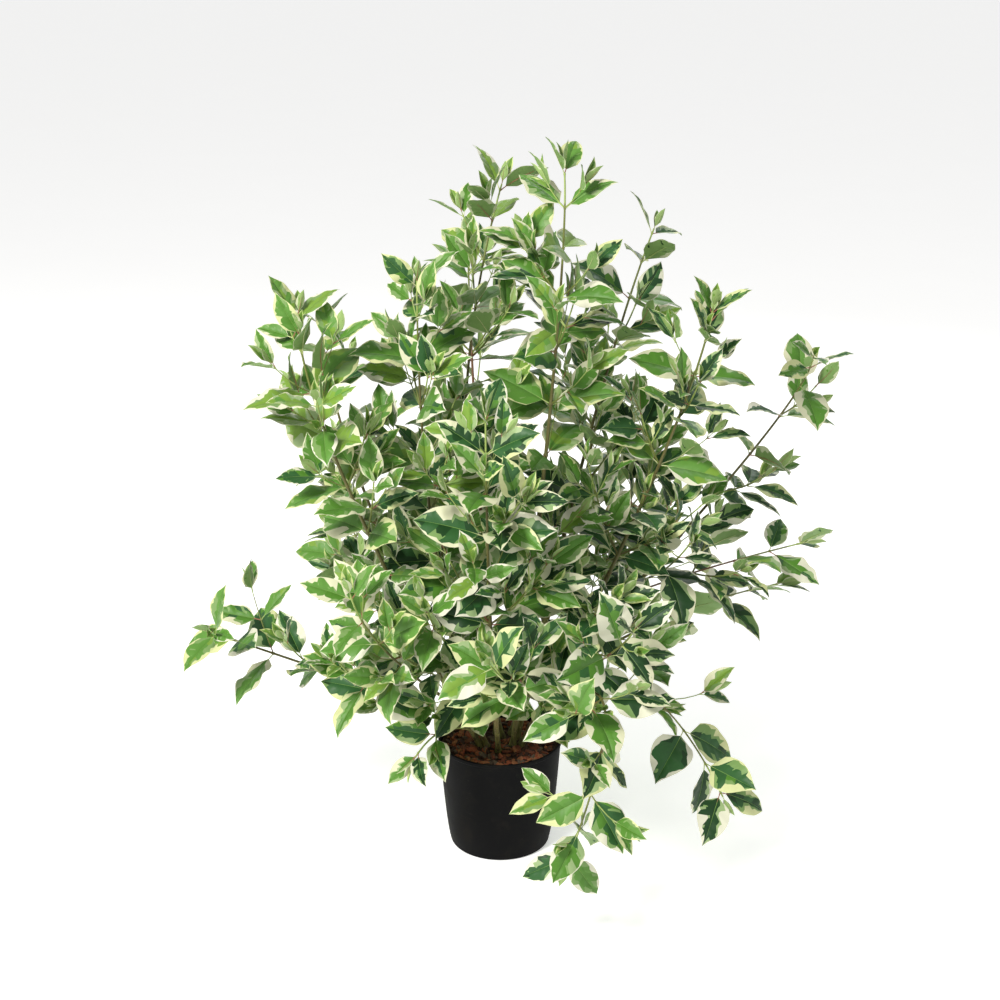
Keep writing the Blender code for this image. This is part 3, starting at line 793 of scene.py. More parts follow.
class Mass:
    """One mass of foliage: a main twig with its shoots, sprigs and leaves, in a space of its own."""

    def __init__(self, name, limb, main):
        self.name = name
        self.limb = limb
        self.main = main
        self.shoots = []
        self.sprigs = []
        self.leaves = []

    def grow_shoots(self, space):
        """The side shoots that the frame's own masses have."""
        for shoot in side_shoots(self.main, random.Random(f"shoots {self.name} {self.limb.seed}")):
            if self.keeps_clear(twig_solid(shoot, CLEAR), space):
                self.shoots.append(shoot)
                space.add(self.name, twig_solid(shoot))

    def grow_leaves(self, space):
        """The large leaves that the frame's own masses have."""
        chance = random.Random(f"leaves {self.name} {self.limb.seed}")
        for twig in [self.main] + self.shoots:
            self.grow_pairs(twig, chance, space)

    def tone(self, twig):
        """How light the greens of one spray are, from 0 to 1: partly by chance, partly painted light and
        shade.
        """
        tip = twig.route.point(1)
        # Painted light and shade: sprays high up and to the left get lighter greens, those low and to the
        # right darker ones
        place = 0.5 - PAINTED_LIGHT_ACROSS * tip.x + PAINTED_LIGHT_UP * (tip.z - PAINTED_LIGHT_MIDDLE)
        own = random.Random(f"tone {self.name} {twig.turn}").random()
        return TONE_CHANCE * own + (1 - TONE_CHANCE) * min(1, max(0, place))

    def grow_pairs(self, twig, chance, space):
        """The leaves of one twig from its tip down, all in the tone of its spray."""
        tone = self.tone(twig)
        for distance, angle in axils(twig):
            self.grow_leaf(twig, distance, angle, tone, chance, space)

    def grow_leaf(self, twig, distance, angle, tone, chance, space):
        """A leaf that, except at its root, meets nothing: where it would, it turns and gets shorter."""
        for attempt in range(LEAF_TRIES):
            root, heading, facing, length, width = leaf_measures(twig, distance, angle, chance, attempt)
            free = root + heading * ROOT_FREE
            blade = leaf_solid(free, heading, facing, length - ROOT_FREE, width, CLEAR)
            whole = leaf_solid(root, heading, facing, length, width, CLEAR)
            if self.keeps_clear(whole, space) and space.is_free(blade, lambda owner: owner == self.name):
                self.leaves.append(Leaf(root, heading, facing, length, width, tone))
                space.add(self.name, leaf_solid(root, heading, facing, length, width))
                return

    def grow_sprigs(self, space):
        """Short sprigs of small leaves from the axils, and from the upper bark of the limb below."""
        chance = random.Random(f"sprigs {self.name}")
        share = LOOSE_LIMBS.get(self.limb.name, SPRIG_CHANCE)
        for twig in [self.main] + self.shoots:
            for distance, angle in axils(twig):
                if chance.random() < share:
                    self.grow_sprig(twig, distance, angle, twig_radius(twig, distance), chance, space)
        if self.main.route.foot == ROUTES[self.limb.name].foot:
            self.grow_limb_sprigs(chance, space)
        for sprig in self.sprigs:
            self.grow_pairs(sprig, chance, space)

    def grow_limb_sprigs(self, chance, space):
        """Sprigs from the upper part of the limb's bark, in opposite pairs."""
        main = self.main
        end = main.route.length * self.limb.bare
        distance = end - LIMB_SPRIG_STEP / 2
        number = 0
        while distance > end * LIMB_SPRIG_LOW:
            bark = limb_radius(self.limb, main.route.share(distance))
            for angle in pair_angles(main, number):
                if chance.random() < LIMB_SPRIG_CHANCE:
                    start = bark * LIMB_SPRIG_ROOM + CLEAR * 2
                    self.grow_sprig(main, distance, angle, start, chance, space)
            distance -= LIMB_SPRIG_STEP
            number += 1

    def grow_sprig(self, twig, distance, angle, start, chance, space):
        """A sprig from one axil: where it would meet something it turns and gets shorter."""
        length = min(chance.uniform(*SPRIG_LENGTH), SPRIG_ROOM * (twig.route.length - distance))
        turn = chance.uniform(0, math.pi)
        for attempt in range(SPRIG_TRIES):
            sway = chance.uniform(-SHOOT_SWAY, SHOOT_SWAY) * (1 + attempt)
            if length < SPRIG_LEAST:
                return
            route, across = branch(twig, distance, angle + sway, SPRIG_ANGLE, length)
            sprig = Twig(route, start, SPRIG_RADIUS, SPRIG_TIP, across, turn, SPRIG_YOUNG)
            if self.keeps_clear(twig_solid(sprig, CLEAR), space):
                self.sprigs.append(sprig)
                space.add(self.name, twig_solid(sprig))
                return
            length *= SPRIG_SHORTER

    def grow_tips(self):
        """The last pair of small leaves, folded over the bud at the tip of every twig."""
        chance = random.Random(f"tips {self.name}")
        for twig in [self.main] + self.shoots + self.sprigs:
            tone = self.tone(twig)
            for angle in pair_angles(twig, 1):
                point, along, outward = axil(twig, twig.route.length, angle)
                degrees = BUD_ANGLE + chance.uniform(-BUD_SWAY, BUD_SWAY)
                heading = turned_towards(along, outward, degrees)
                length = chance.uniform(*BUD_LENGTH)
                while not within_reach([point + heading * length]):
                    length *= BUD_SHORTER
                facing = along * BUD_FORWARD - outward
                self.leaves.append(Leaf(point, heading, facing, length, length * BUD_SLIM, tone))

    def keeps_clear(self, solid, space):
        """True where a solid is off the ground, within reach, and clear of all but its own mass."""
        lowest = min(corner.z for corner in solid[0])
        placed = lowest > LOWEST and within_reach(solid[0])
        return placed and space.is_free(solid, lambda owner: owner != self.name)


def end_mass(limb, route):
    """The mass that a limb ends in, which carries on along the limb's own curve."""
    start = route.length * limb.bare + GAP
    end_radius = limb_radius(limb, route.share(start))
    thin = max(TWIG_LEAST, limb_radius(limb, 1))
    # Thickness runs over the whole route, so the foot of the twig matches the end of the limb
    thick = thin + (end_radius - thin) / (1 - limb.bare)
    turn = random.Random(f"turn {limb.name} {limb.seed}").uniform(0, math.pi)
    twig = Twig(route, start, thick, thin, across_of(limb), turn, limb.young)
    return Mass(f"foliage_{limb.name}", limb, twig)


def side_mass(limb, route, carrier, number, left, space):
    """A smaller mass on the side of a limb: its twig leaves outwards, turns up and meets nothing."""
    chance = random.Random(f"side {limb.name} {number} {limb.seed}")
    height = TUFT_LOW + (TUFT_HIGH - TUFT_LOW) * (number + 0.5) / limb.tufts
    foot = route.point(route.share(route.length * limb.bare * height))
    length = TUFT_LENGTH * chance.uniform(*TUFT_SPREAD)
    turn = chance.uniform(0, math.pi)
    for attempt in range(TUFT_TRIES):
        sway = chance.uniform(-TUFT_SWAY, TUFT_SWAY) * (1 + attempt)
        azimuth = limb.azimuth + (1 if left else -1) * TUFT_TURN + sway
        knee = foot + polar(azimuth, TUFT_KNEE * length, TUFT_LIFT * length)
        path = Route(foot, knee, foot + polar(azimuth, length, TUFT_RISE * length))
        across = polar(azimuth + 90, 1, 0)
        start = first_clear(path, carrier, across, TUFT_RADIUS, TWIG_SIDES)
        twig = Twig(path, start, TUFT_RADIUS, TWIG_LEAST, across, turn, limb.young)
        if space.is_free(twig_solid(twig, CLEAR), lambda owner: owner != limb.name):
            break
    return Mass(f"foliage_side_{limb.name}", limb, twig)


def node_solid(name):
    """One solid of the frame, as its corners and faces."""
    mesh = frame["nodes"][name].data
    return [corner.co.copy() for corner in mesh.vertices], [list(face.vertices) for face in mesh.polygons]


def grow_masses():
    """Every limb's end mass, then the side masses, each kept clear of what was placed before it."""
    space = Space()
    for name in ["pot", "soil"] + [limb.name for limb in LIMBS]:
        space.add(name, node_solid(name))
    masses = [end_mass(limb, ROUTES[limb.name]) for limb in LIMBS]
    for mass in masses:
        space.add(mass.name, twig_solid(mass.main))
    for place, limb in enumerate(LIMBS):
        for number in range(limb.tufts):
            left = (place + number) % 2 == 0
            side = side_mass(limb, ROUTES[limb.name], node_solid(limb.name), number, left, space)
            space.add(side.name, twig_solid(side.main))
            masses.append(side)
    for mass in masses:
        mass.grow_shoots(space)
    for mass in masses:
        mass.grow_leaves(space)
    for mass in masses:
        mass.grow_sprigs(space)
    for mass in masses:
        mass.grow_tips()
    return masses


class Bundle:
    """Gathers the corners and faces of many small shapes that become one mesh."""

    def __init__(self):
        self.points = []
        self.corners = []
        self.sizes = []
        self.looks = []
        self.count = 0

    def add(self, points, faces, looks):
        """One shape: faces are lists of its corners' numbers, looks one number for each face or for all."""
        corners = np.array([tuple(point) for point in points])
        self.add_copies(corners[None], faces, np.broadcast_to(np.asarray(looks), (1, len(faces))))

    def add_copies(self, points, faces, looks):
        """The same faces on many sets of corners: points is copies x corners x 3, looks copies x faces."""
        copies, each = points.shape[:2]
        corners = np.concatenate([np.asarray(face) for face in faces])
        sizes = np.array([len(face) for face in faces])
        shift = self.count + each * np.arange(copies)
        self.points.append(points.reshape(-1, 3))
        self.corners.append((corners[None, :] + shift[:, None]).ravel())
        self.sizes.append(np.tile(sizes, copies))
        self.looks.append(looks.ravel())
        self.count += copies * each

    def piece(self, name, materials, sharp_degrees=70.0):
        """The bundle as one object, shaded smooth except across edges sharper than an angle."""
        points = np.concatenate(self.points)
        corners = np.concatenate(self.corners)
        sizes = np.concatenate(self.sizes)
        mesh = bpy.data.meshes.new(name)
        mesh.vertices.add(len(points))
        mesh.vertices.foreach_set("co", points.astype(np.float32).ravel())
        mesh.loops.add(len(corners))
        mesh.loops.foreach_set("vertex_index", corners.astype(np.int32))
        mesh.polygons.add(len(sizes))
        mesh.polygons.foreach_set("loop_start", (np.cumsum(sizes) - sizes).astype(np.int32))
        mesh.polygons.foreach_set("material_index", np.concatenate(self.looks).astype(np.int32))
        mesh.update(calc_edges=True)
        mesh.shade_smooth()
        mesh.set_sharp_from_angle(angle=math.radians(sharp_degrees))
        for material in materials:
            mesh.materials.append(material)
        thing = bpy.data.objects.new(name, mesh)
        bpy.context.scene.collection.objects.link(thing)
        return thing


# Lines of corners along the top of a blade, from its left edge to its right one, and along its underside
BLADE_LINES = ((-1, "edge"), (-1, "green"), (-1, "inner"), (-1, "rib"), (0, "groove"),
               (1, "rib"), (1, "inner"), (1, "green"), (1, "edge"))
UNDER_LINES = ("green", "groove")
TOP_BANDS = len(BLADE_LINES) - 1
UNDER_BANDS = 4


def blade_faces(rows):
    """Faces of one blade, band by band from its base to its tip, on top and then below."""
    def top(row, column):
        return 2 + len(BLADE_LINES) * row + column

    def under(row, column):
        if column in (0, UNDER_BANDS):
            return top(row, 2 * column)
        return 2 + len(BLADE_LINES) * (rows - 1) + (UNDER_BANDS - 1) * row + column - 1

    last = rows - 2
    faces = [[0, top(0, j), top(0, j + 1)] for j in range(TOP_BANDS)]
    faces += [[0, under(0, j + 1), under(0, j)] for j in range(UNDER_BANDS)]
    for row in range(last):
        over = row + 1
        faces += [[top(row, j), top(over, j), top(over, j + 1), top(row, j + 1)] for j in range(TOP_BANDS)]
        faces += [[under(over, j + 1), under(over, j), under(row, j), under(row, j + 1)]
                  for j in range(UNDER_BANDS)]
    faces += [[top(last, j), 1, top(last, j + 1)] for j in range(TOP_BANDS)]
    faces += [[under(last, j + 1), 1, under(last, j)] for j in range(UNDER_BANDS)]
    return faces


def beyond(along, start):
    """How far a place along a blade lies past a start: 0 up to there, and 1 at the tip."""
    return np.clip((along - start) / (1 - start), 0, 1)


class Blades:
    """The shape of many leaves at once: every value below has one entry a leaf."""

    def __init__(self, leaves, seed):
        self.chance = np.random.default_rng(seed)
        self.count = len(leaves)
        self.root = np.array([leaf.root for leaf in leaves])
        self.heading = np.array([leaf.heading for leaf in leaves])
        facing = np.array([leaf.facing for leaf in leaves])
        side = np.cross(facing, self.heading)
        self.side = side / np.linalg.norm(side, axis=1, keepdims=True)
        self.up = np.cross(self.heading, self.side)
        self.length = np.array([leaf.length for leaf in leaves])
        self.half = np.array([leaf.width for leaf in leaves]) / 2 * BLADE_SHARE
        self.tone = np.array([leaf.tone for leaf in leaves])
        shut = LEAF_CLOSED * BLADE_OPENS
        self.opened = np.clip((self.length - shut) / (LEAF_GROWN - LEAF_CLOSED), 0, 1)
        draw = self.chance.uniform
        fold = FOLD_YOUNG + (FOLD_GROWN - FOLD_YOUNG) * self.opened
        self.fold = fold + draw(*FOLD_SWAY, self.count)
        self.arch = draw(*BLADE_ARCH, self.count) * self.opened
        self.curl = draw(*TIP_CURL, self.count)
        self.droop = draw(*BLADE_DROOP, self.count) * self.opened - YOUNG_LIFT * (1 - self.opened)
        self.twist = draw(-BLADE_TWIST, BLADE_TWIST, self.count) * self.opened
        self.sickle = draw(-BLADE_SICKLE, BLADE_SICKLE, self.count)
        self.wave = draw(*EDGE_WAVE, self.count) * self.opened
        self.waves = draw(*EDGE_WAVES, self.count)
        self.phase = draw(0, math.tau, self.count)
        most = np.clip(CREAM_LOW - CREAM_LESS * self.root[:, 2], 0, 1)
        self.cream = draw(0.0, 1.0, self.count) * most

    def spine(self, along):
        """Height of the midrib over the straight line from base to tip."""
        bent = 2 * self.arch[:, None] * along * (1 - along) - self.droop[:, None] * along ** 2
        tip = self.curl[:, None] * beyond(along, TIP_FROM) ** 2
        return self.length[:, None] * (bent - tip)

    def outline(self, along):
        """Half the width of the blade at a place along it: oval, drawn out to a fine tip."""
        widest = BLADE_RISE / (BLADE_RISE + BLADE_FALL)
        most = widest ** BLADE_RISE * (1 - widest) ** BLADE_FALL
        along = np.clip(along, 0, 1)
        oval = along ** BLADE_RISE * (1 - along) ** BLADE_FALL / most
        drawn = 1 - TIP_DRAWN * beyond(along, TIP_FROM) ** TIP_BIAS
        return self.half[:, None] * oval * drawn

    def place(self, along, across, lift):
        """Points from the place along the blade, the distance across it and the height over the spine."""
        turn = self.twist[:, None] * (along - TWIST_FROM)
        height = self.spine(along) + lift
        sideways = across * np.cos(turn) - height * np.sin(turn)
        sideways = sideways + self.sickle[:, None] * self.length[:, None] * along ** 2
        upward = across * np.sin(turn) + height * np.cos(turn)
        forward = self.length[:, None] * (PETIOLE + (1 - PETIOLE) * along)
        return (self.root[:, None, :] + self.heading[:, None, :] * forward[..., None]
                + self.side[:, None, :] * sideways[..., None] + self.up[:, None, :] * upward[..., None])

    def margin(self, rows):
        """How far out the green and its inner part reach on each side, in steps from vein to vein."""
        draw = self.chance.uniform
        sectors = -(-rows // VEIN_ROWS)
        sector = np.arange(1, rows) // VEIN_ROWS
        wide = MARGIN_LEAST + MARGIN_MORE * self.cream[:, None, None] ** MARGIN_BIAS
        steps = wide * MARGIN_STEP * draw(0.0, 1.0, (self.count, 2, sectors)) ** MARGIN_UNEVEN
        steps = steps[:, :, sector]
        steps = steps + draw(*TOOTH_SWAY, steps.shape) * (TOOTH_LEAST + TOOTH_WIDE * wide)
        steps = steps + PALE_TIP * beyond(np.arange(1, rows) / rows, PALE_TIP_FROM) ** PALE_TIP_BIAS
        inner = draw(*INNER_GREEN, (self.count, 2, sectors))[:, :, sector]
        inner = inner + draw(-INNER_SWAY, INNER_SWAY, steps.shape)
        return 1 - np.clip(steps, *MARGIN_LIMITS), inner

    def surface(self, rows):
        """Corners of all blades, in the order in which blade_faces names them."""
        along = np.broadcast_to(np.arange(1, rows) / rows, (self.count, rows - 1))
        margin, inner = self.margin(rows)
        vein = np.where(np.arange(1, rows) % VEIN_ROWS == 0, VEIN_SUNK, VEIN_RAISED)
        scale = self.length[:, None] / LEAF_GROWN
        columns = []
        unders = []
        for way, line in BLADE_LINES:
            half_side = 0 if way < 0 else 1
            green = margin[:, half_side]
            shares = {"edge": np.ones_like(along), "green": green, "inner": green * inner[:, half_side]}
            share = shares.get(line, np.zeros_like(along))
            forward = along + VEIN_BEND * share ** VEIN_CURVE * np.sqrt(along) * (1 - along)
            half = self.outline(forward)
            across = share * half
            if line == "rib":
                across = np.minimum(RIB_HALF * (RIB_TAPER - along) * scale, RIB_MOST * green * half)
                share = across / np.maximum(half, 1e-6)
            lift = self.fold[:, None] * across - EDGE_ROLL * self.opened[:, None] * share ** 2 * half
            lift = lift + VEIN_RELIEF * scale * vein * 4 * share * (1 - share)
            turn = self.waves[:, None] * math.tau * forward + self.phase[:, None] + EDGE_SHIFT * way
            lift = lift + self.wave[:, None] * half * share ** 2 * np.sin(turn)
            if line == "groove":
                lift = lift - RIB_GROOVE * scale
            columns.append(self.place(forward, way * across, lift))
            if line in UNDER_LINES:
                thick = BLADE_THICK * scale * (1 - BLADE_THINNER * share)
                unders.append(self.place(forward, way * across, lift - thick))
        flat = np.zeros((self.count, 1))
        ends = np.stack([self.place(flat + end, flat, flat)[:, 0] for end in (0, 1)], axis=1)
        tops = np.stack(columns, axis=2).reshape(self.count, -1, 3)
        unders = np.stack(unders, axis=2).reshape(self.count, -1, 3)
        return np.concatenate([ends, tops, unders], axis=1)

    def looks(self, rows):
        """The finish of every face: greens by spray (with painted light and shade), leaf and vein sector, and
        creams along the margin.
        """
        draw = self.chance.random
        number = {name: place for place, name in enumerate(LEAF_COLOURS)}
        greens = np.array([number[name] for name in LEAF_GREENS])
        greys = np.array([number[name] for name in LEAF_GREYS])
        creams = np.array([number[name] for name in LEAF_CREAMS])
        young = self.opened < YOUNG_BELOW
        own = np.clip(self.tone + self.chance.normal(0, TONE_SPREAD, self.count), 0, 1)
        place = np.minimum((own * len(greens)).astype(int), len(greens) - 1)
        main = greens[place]
        other = greens[np.clip(place + np.where(draw(self.count) < 0.5, -1, 1), 0, len(greens) - 1)]
        main = np.where(young, number["leaf_young"], main)
        other = np.where(young, number["leaf_fresh"], other)
        grey = greys[(draw(self.count) * len(greys)).astype(int)]
        cream = creams[(draw(self.count) * len(creams)).astype(int)]
        cream = np.where(young, number["margin_young"], cream)
        band = np.arange(rows) // VEIN_ROWS
        pick = draw((self.count, 2, band[-1] + 1))[:, :, band]
        streak = (draw((self.count, 2, rows)) < STREAK_CHANCE) & (np.arange(rows) % VEIN_ROWS == 0)
        looks = np.zeros((self.count, rows, TOP_BANDS + UNDER_BANDS), dtype=np.int32)
        for side, (outer, middle, inner, rib) in enumerate(((0, 1, 2, 3), (7, 6, 5, 4))):
            chosen = pick[:, side]
            looks[:, :, outer] = cream[:, None]
            shade = np.where(chosen < OUTER_OTHER, other[:, None], grey[:, None])
            shade = np.where(chosen < OUTER_MAIN, main[:, None], shade)
            shade = np.where(chosen > OUTER_CREAM, cream[:, None], shade)
            looks[:, :, middle] = np.where(streak[:, side], grey[:, None], shade)
            looks[:, :, inner] = np.where(chosen < INNER_MAIN, main[:, None], other[:, None])
            looks[:, :, rib] = number["midrib"]
        # Undersides: their own paleness plus painted light shining through the leaf
        under = np.where(young, number["underside_young"], number["underside_green"])
        looks[:, :, TOP_BANDS:] = under[:, None, None]
        looks[:, :, [TOP_BANDS, -1]] = number["underside_cream"]
        return looks

    def stalks(self):
        """Leaf stalks as rings, each carried on under its blade as the keel of the midrib."""
        along = np.array(STALK_PLACES) / (1 - PETIOLE)
        place = np.broadcast_to(along, (self.count, len(along)))
        size = np.array(STALK_RADII) * (STALK_YOUNG + (1 - STALK_YOUNG) * self.opened[:, None])
        scale = self.length[:, None] / LEAF_GROWN
        keel = (RIB_GROOVE + BLADE_THICK) * scale + KEEL_SUNK * size
        height = np.where(along > KEEL_FROM, -keel, 0.0)
        rings = []
        for i in range(STALK_SIDES):
            angle = math.tau * i / STALK_SIDES
            rings.append(self.place(place, size * math.cos(angle), height + size * math.sin(angle)))
        return np.stack(rings, axis=2).reshape(self.count, -1, 3), tube_faces(len(along), STALK_SIDES)


def leaf_pieces(name, leaves, seed):
    """Blades and stalks of one side of the plant, in pieces that stay small enough to hand on."""
    pieces = []
    for part, start in enumerate(range(0, len(leaves), MOST_LEAVES)):
        lot = leaves[start:start + MOST_LEAVES]
        blades = Bundle()
        stalks = Bundle()
        for small, rows in ((False, BLADE_ROWS), (True, BUD_ROWS)):
            some = [leaf for leaf in lot if leaf.is_bud() == small]
            if some:
                shapes = Blades(some, seed + part * 2 + small)
                blades.add_copies(shapes.surface(rows), blade_faces(rows), shapes.looks(rows))
                points, faces = shapes.stalks()
                tint = (shapes.chance.random(shapes.count) * len(PETIOLE_COLOURS)).astype(np.int32)
                stalks.add_copies(points, faces, np.repeat(tint[:, None], len(faces), axis=1))
        pieces.append(blades.piece(f"leaves_{name}_{part + 1}", LEAF_FINISHES))
        pieces.append(stalks.piece(f"stalks_{name}_{part + 1}", PETIOLE_FINISHES))
    return pieces


def twig_rings(twig, step, sides):
    """Round rings along a twig, closer and wider at its knuckles, with the distance of each."""
    knuckles = pair_distances(twig)
    ends = (twig.start, twig.route.length)
    length = twig.route.length - twig.start
    count = max(TWIG_COURSES, round(length / step))
    places = [twig.start + length * i / count for i in range(count + 1)]
    for knuckle in knuckles:
        places = [place for place in places if abs(place - knuckle) > KNUCKLE_ROOM or place in ends]
        places += [knuckle + off for off in KNUCKLE_RINGS]
    places = sorted(place for place in places if ends[0] <= place <= ends[1])
    rings = []
    for place in places:
        share = twig.route.share(place)
        radius = twig_radius(twig, place) * TWIG_SLIM
        if any(abs(place - knuckle) < KNUCKLE_HALF for knuckle in knuckles):
            radius *= 1 + KNUCKLE_SWELL
        rings.append(ring(twig.route.point(share), twig.across, twig.route.heading(share), radius, sides))
    return rings, places


def twig_shade(left, red):
    """The shade of a twig's bark at a distance from its tip; a red twig turns olive, then red."""
    if red and left > RED_TWIG_GREEN_TO:
        return "twig_red" if left > RED_TWIG_OLIVE_TO else "twig_olive"
    if left < GREEN_TO:
        return "twig_green"
    return "twig_olive" if left < OLIVE_TO else "twig_brown"


def twig_piece(name, masses):
    """All the twigs of one side of the plant: brown and red on the older wood, green towards the tips."""
    bundle = Bundle()
    colours = list(TWIG_COLOURS)
    for mass in masses:
        chance = random.Random(f"twigs {mass.name}")
        for twigs, (step, sides) in zip(([mass.main], mass.shoots, mass.sprigs), TWIG_GRADES):
            for twig in twigs:
                whole = twig._replace(start=max(0.0, twig.start - TWIG_SUNK))
                rings, places = twig_rings(whole, step, sides)
                points, faces = tube(rings)
                red = chance.random() < RED_CHANCE
                lengths = [twig.route.length - places[min(face) // sides] for face in faces]
                bundle.add(points, faces, [colours.index(twig_shade(left, red)) for left in lengths])
    return bundle.piece(name, TWIG_FINISHES, sharp_degrees=60.0)


def relief(pattern, angle, distance, shift):
    """Height of a pattern in the bark, about -1 to 1, at a place round the limb and along it."""
    around, along = pattern
    spot = Vector((math.cos(angle) * around, math.sin(angle) * around, distance * along + shift))
    return noise.noise(spot)


def bark_swell(distance, nodes):
    """How much wider a limb is than its taper: flared at its foot, and swollen at old leaf scars."""
    near_foot = max(0.0, 1 - max(distance, 0) / FOOT_FLARE_RISE)
    swell = 1 + FOOT_FLARE * near_foot ** 2
    for node in nodes:
        off = abs(distance - node) / NODE_HALF
        if off < 1:
            swell += NODE_SWELL * (1 - off * off)
    return swell


def bark_piece(limb, route):
    """A limb with its bark's relief: ridges along it, leaf-scar nodes, and a flared foot or collar."""
    on_soil = limb.parent == "soil"
    start = -FOOT_SUNK if on_soil else 0.0
    end = route.length * limb.bare
    across = across_of(limb)
    turn = random.Random(f"turn {limb.name} {limb.seed}").uniform(0, math.pi)
    nodes = [end - NODE_STEP * (i + 0.5) for i in range(int(end / NODE_STEP))]
    courses = round((end - start) / BARK_COURSE)
    bundle = Bundle()
    points = []
    for i in range(courses + 1):
        distance = start + (end - start) * i / courses
        share = route.share(max(distance, 0.0))
        along = route.heading(share) if distance > 0 or not on_soil else Vector((0, 0, 1))
        centre = route.point(share) + Vector((0, 0, min(distance, 0.0)))
        radius = limb_radius(limb, share) * bark_swell(distance, nodes)
        side = square_to(along, across)
        other = along.cross(side)
        for j in range(BARK_SIDES):
            angle = math.tau * j / BARK_SIDES
            way = side * math.cos(angle) + other * math.sin(angle)
            ridge = relief(RIDGE_PATTERN, angle, distance, limb.seed)
            grain = relief(GRAIN_PATTERN, angle, distance, turn)
            size = radius * (1 + BARK_RIDGES * ridge + GRAIN_SHARE * BARK_RIDGES * grain)
            points.append(centre + way * size)
    bundle.add(points, tube_faces(courses + 1, BARK_SIDES), 0)
    return bundle.piece(f"bark_{limb.name}", [BARK], sharp_degrees=60.0)


def pot_radius(height):
    """Outer radius of the pot's wall, which swells a little above its foot."""
    return POT_FOOT_RADIUS + (POT_RIM_RADIUS - POT_FOOT_RADIUS) * (height / POT_HEIGHT) ** POT_SWELL


def turned(profile, sides):
    """Turn a profile of radius and height, which starts and ends on the axis, into a solid."""
    rows = profile[1:-1]
    points = [(0, 0, profile[0][1]), (0, 0, profile[-1][1])]
    for radius, height in rows:
        for i in range(sides):
            angle = math.tau * i / sides
            points.append((radius * math.cos(angle), radius * math.sin(angle), height))
    faces = []
    last = 2 + (len(rows) - 1) * sides
    for i in range(sides):
        j = (i + 1) % sides
        faces.append([0, 2 + j, 2 + i])
        faces.append([1, last + i, last + j])
        for row in range(len(rows) - 1):
            base = 2 + row * sides
            faces.append([base + i, base + j, base + sides + j, base + sides + i])
    return points, faces


def rounded(centre, radius, start, end, steps):
    """Points of an arc in a profile, from one angle to another in degrees."""
    across, height = centre
    angles = [math.radians(start + (end - start) * i / steps) for i in range(steps + 1)]
    return [(across + radius * math.cos(angle), height + radius * math.sin(angle)) for angle in angles]


def pot_profile():
    """The pot's section from the middle of its underside, up the outside, over the rim and down inside."""
    rise = POT_HEIGHT - RIM_DEPTH - POT_HEEL
    wall = [POT_HEEL + rise * i / POT_COURSES for i in range(POT_COURSES + 1)]
    heel = pot_radius(POT_HEEL) - POT_HEEL
    rim = POT_RIM_RADIUS + RIM_ROLL
    roll = RIM_ROLL + POT_WALL
    ground = DRAIN_RING - 2 * DRAIN_RADIUS
    outside = [(0, 0), (ground, 0)]
    outside += rounded((heel, POT_HEEL), POT_HEEL, start=-90, end=-8, steps=HEEL_STEPS)
    outside += [(pot_radius(z), z) for z in wall]
    bead = (rim - RIM_BEAD, POT_HEIGHT - RIM_DEPTH + RIM_BEAD_RISE)
    outside += rounded(bead, RIM_BEAD, start=-80, end=0, steps=BEAD_STEPS)
    middle = (rim - roll / 2, POT_HEIGHT - roll / 2)
    lip = rounded(middle, roll / 2, start=0, end=180, steps=LIP_STEPS)
    inside = [(pot_radius(z) - POT_WALL, z) for z in wall[1:-1][::-1]]
    floor = [(pot_radius(POT_HEEL) - POT_WALL - POT_HEEL / 2, POT_FLOOR), (ground, POT_FLOOR)]
    return outside + lip + inside + floor + [(0, POT_FLOOR)]


def drain_punch():
    """A ring of round pegs that cut the drainage holes."""
    punch = Bundle()
    for i in range(DRAIN_HOLES):
        middle = polar(360 * i / DRAIN_HOLES, DRAIN_RING, 0)
        ends = [middle + Vector((0, 0, z)) for z in (-POT_FLOOR, 2 * POT_FLOOR)]
        rings = [ring(end, Vector((1, 0, 0)), Vector((0, 0, 1)), DRAIN_RADIUS, DRAIN_SIDES) for end in ends]
        punch.add(*tube(rings), 0)
    return punch.piece("pot_punch", [PLASTIC])


def pot_piece():
    """The moulded pot: a thin wall with a rolled rim, a rounded heel and round holes in its floor."""
    bundle = Bundle()
    bundle.add(*turned(pot_profile(), POT_SIDES), 0)
    pot = bundle.piece("pot_shell", [PLASTIC], sharp_degrees=40.0)
    punch = drain_punch()
    cut = pot.modifiers.new("drain_holes", "BOOLEAN")
    cut.operation = "DIFFERENCE"
    cut.object = punch
    cut.solver = "EXACT"
    bpy.context.view_layer.update()
    shape = pot.evaluated_get(bpy.context.evaluated_depsgraph_get())
    cut_mesh = bpy.data.meshes.new_from_object(shape)
    pot.modifiers.clear()
    pot.data = cut_mesh
    bpy.data.objects.remove(punch)
    return pot


def heave(x, y):
    """How far the top of the compost rises or sinks at a spot, in broad lumps with small crumbs on them."""
    lumps = noise.noise(Vector((x * SOIL_LUMPS, y * SOIL_LUMPS, LUMP_LAYER)))
    crumbs = noise.noise(Vector((x * SOIL_CRUMBS, y * SOIL_CRUMBS, CRUMB_LAYER)))
    return SOIL_HEAVE * (lumps + CRUMB_SHARE * crumbs)


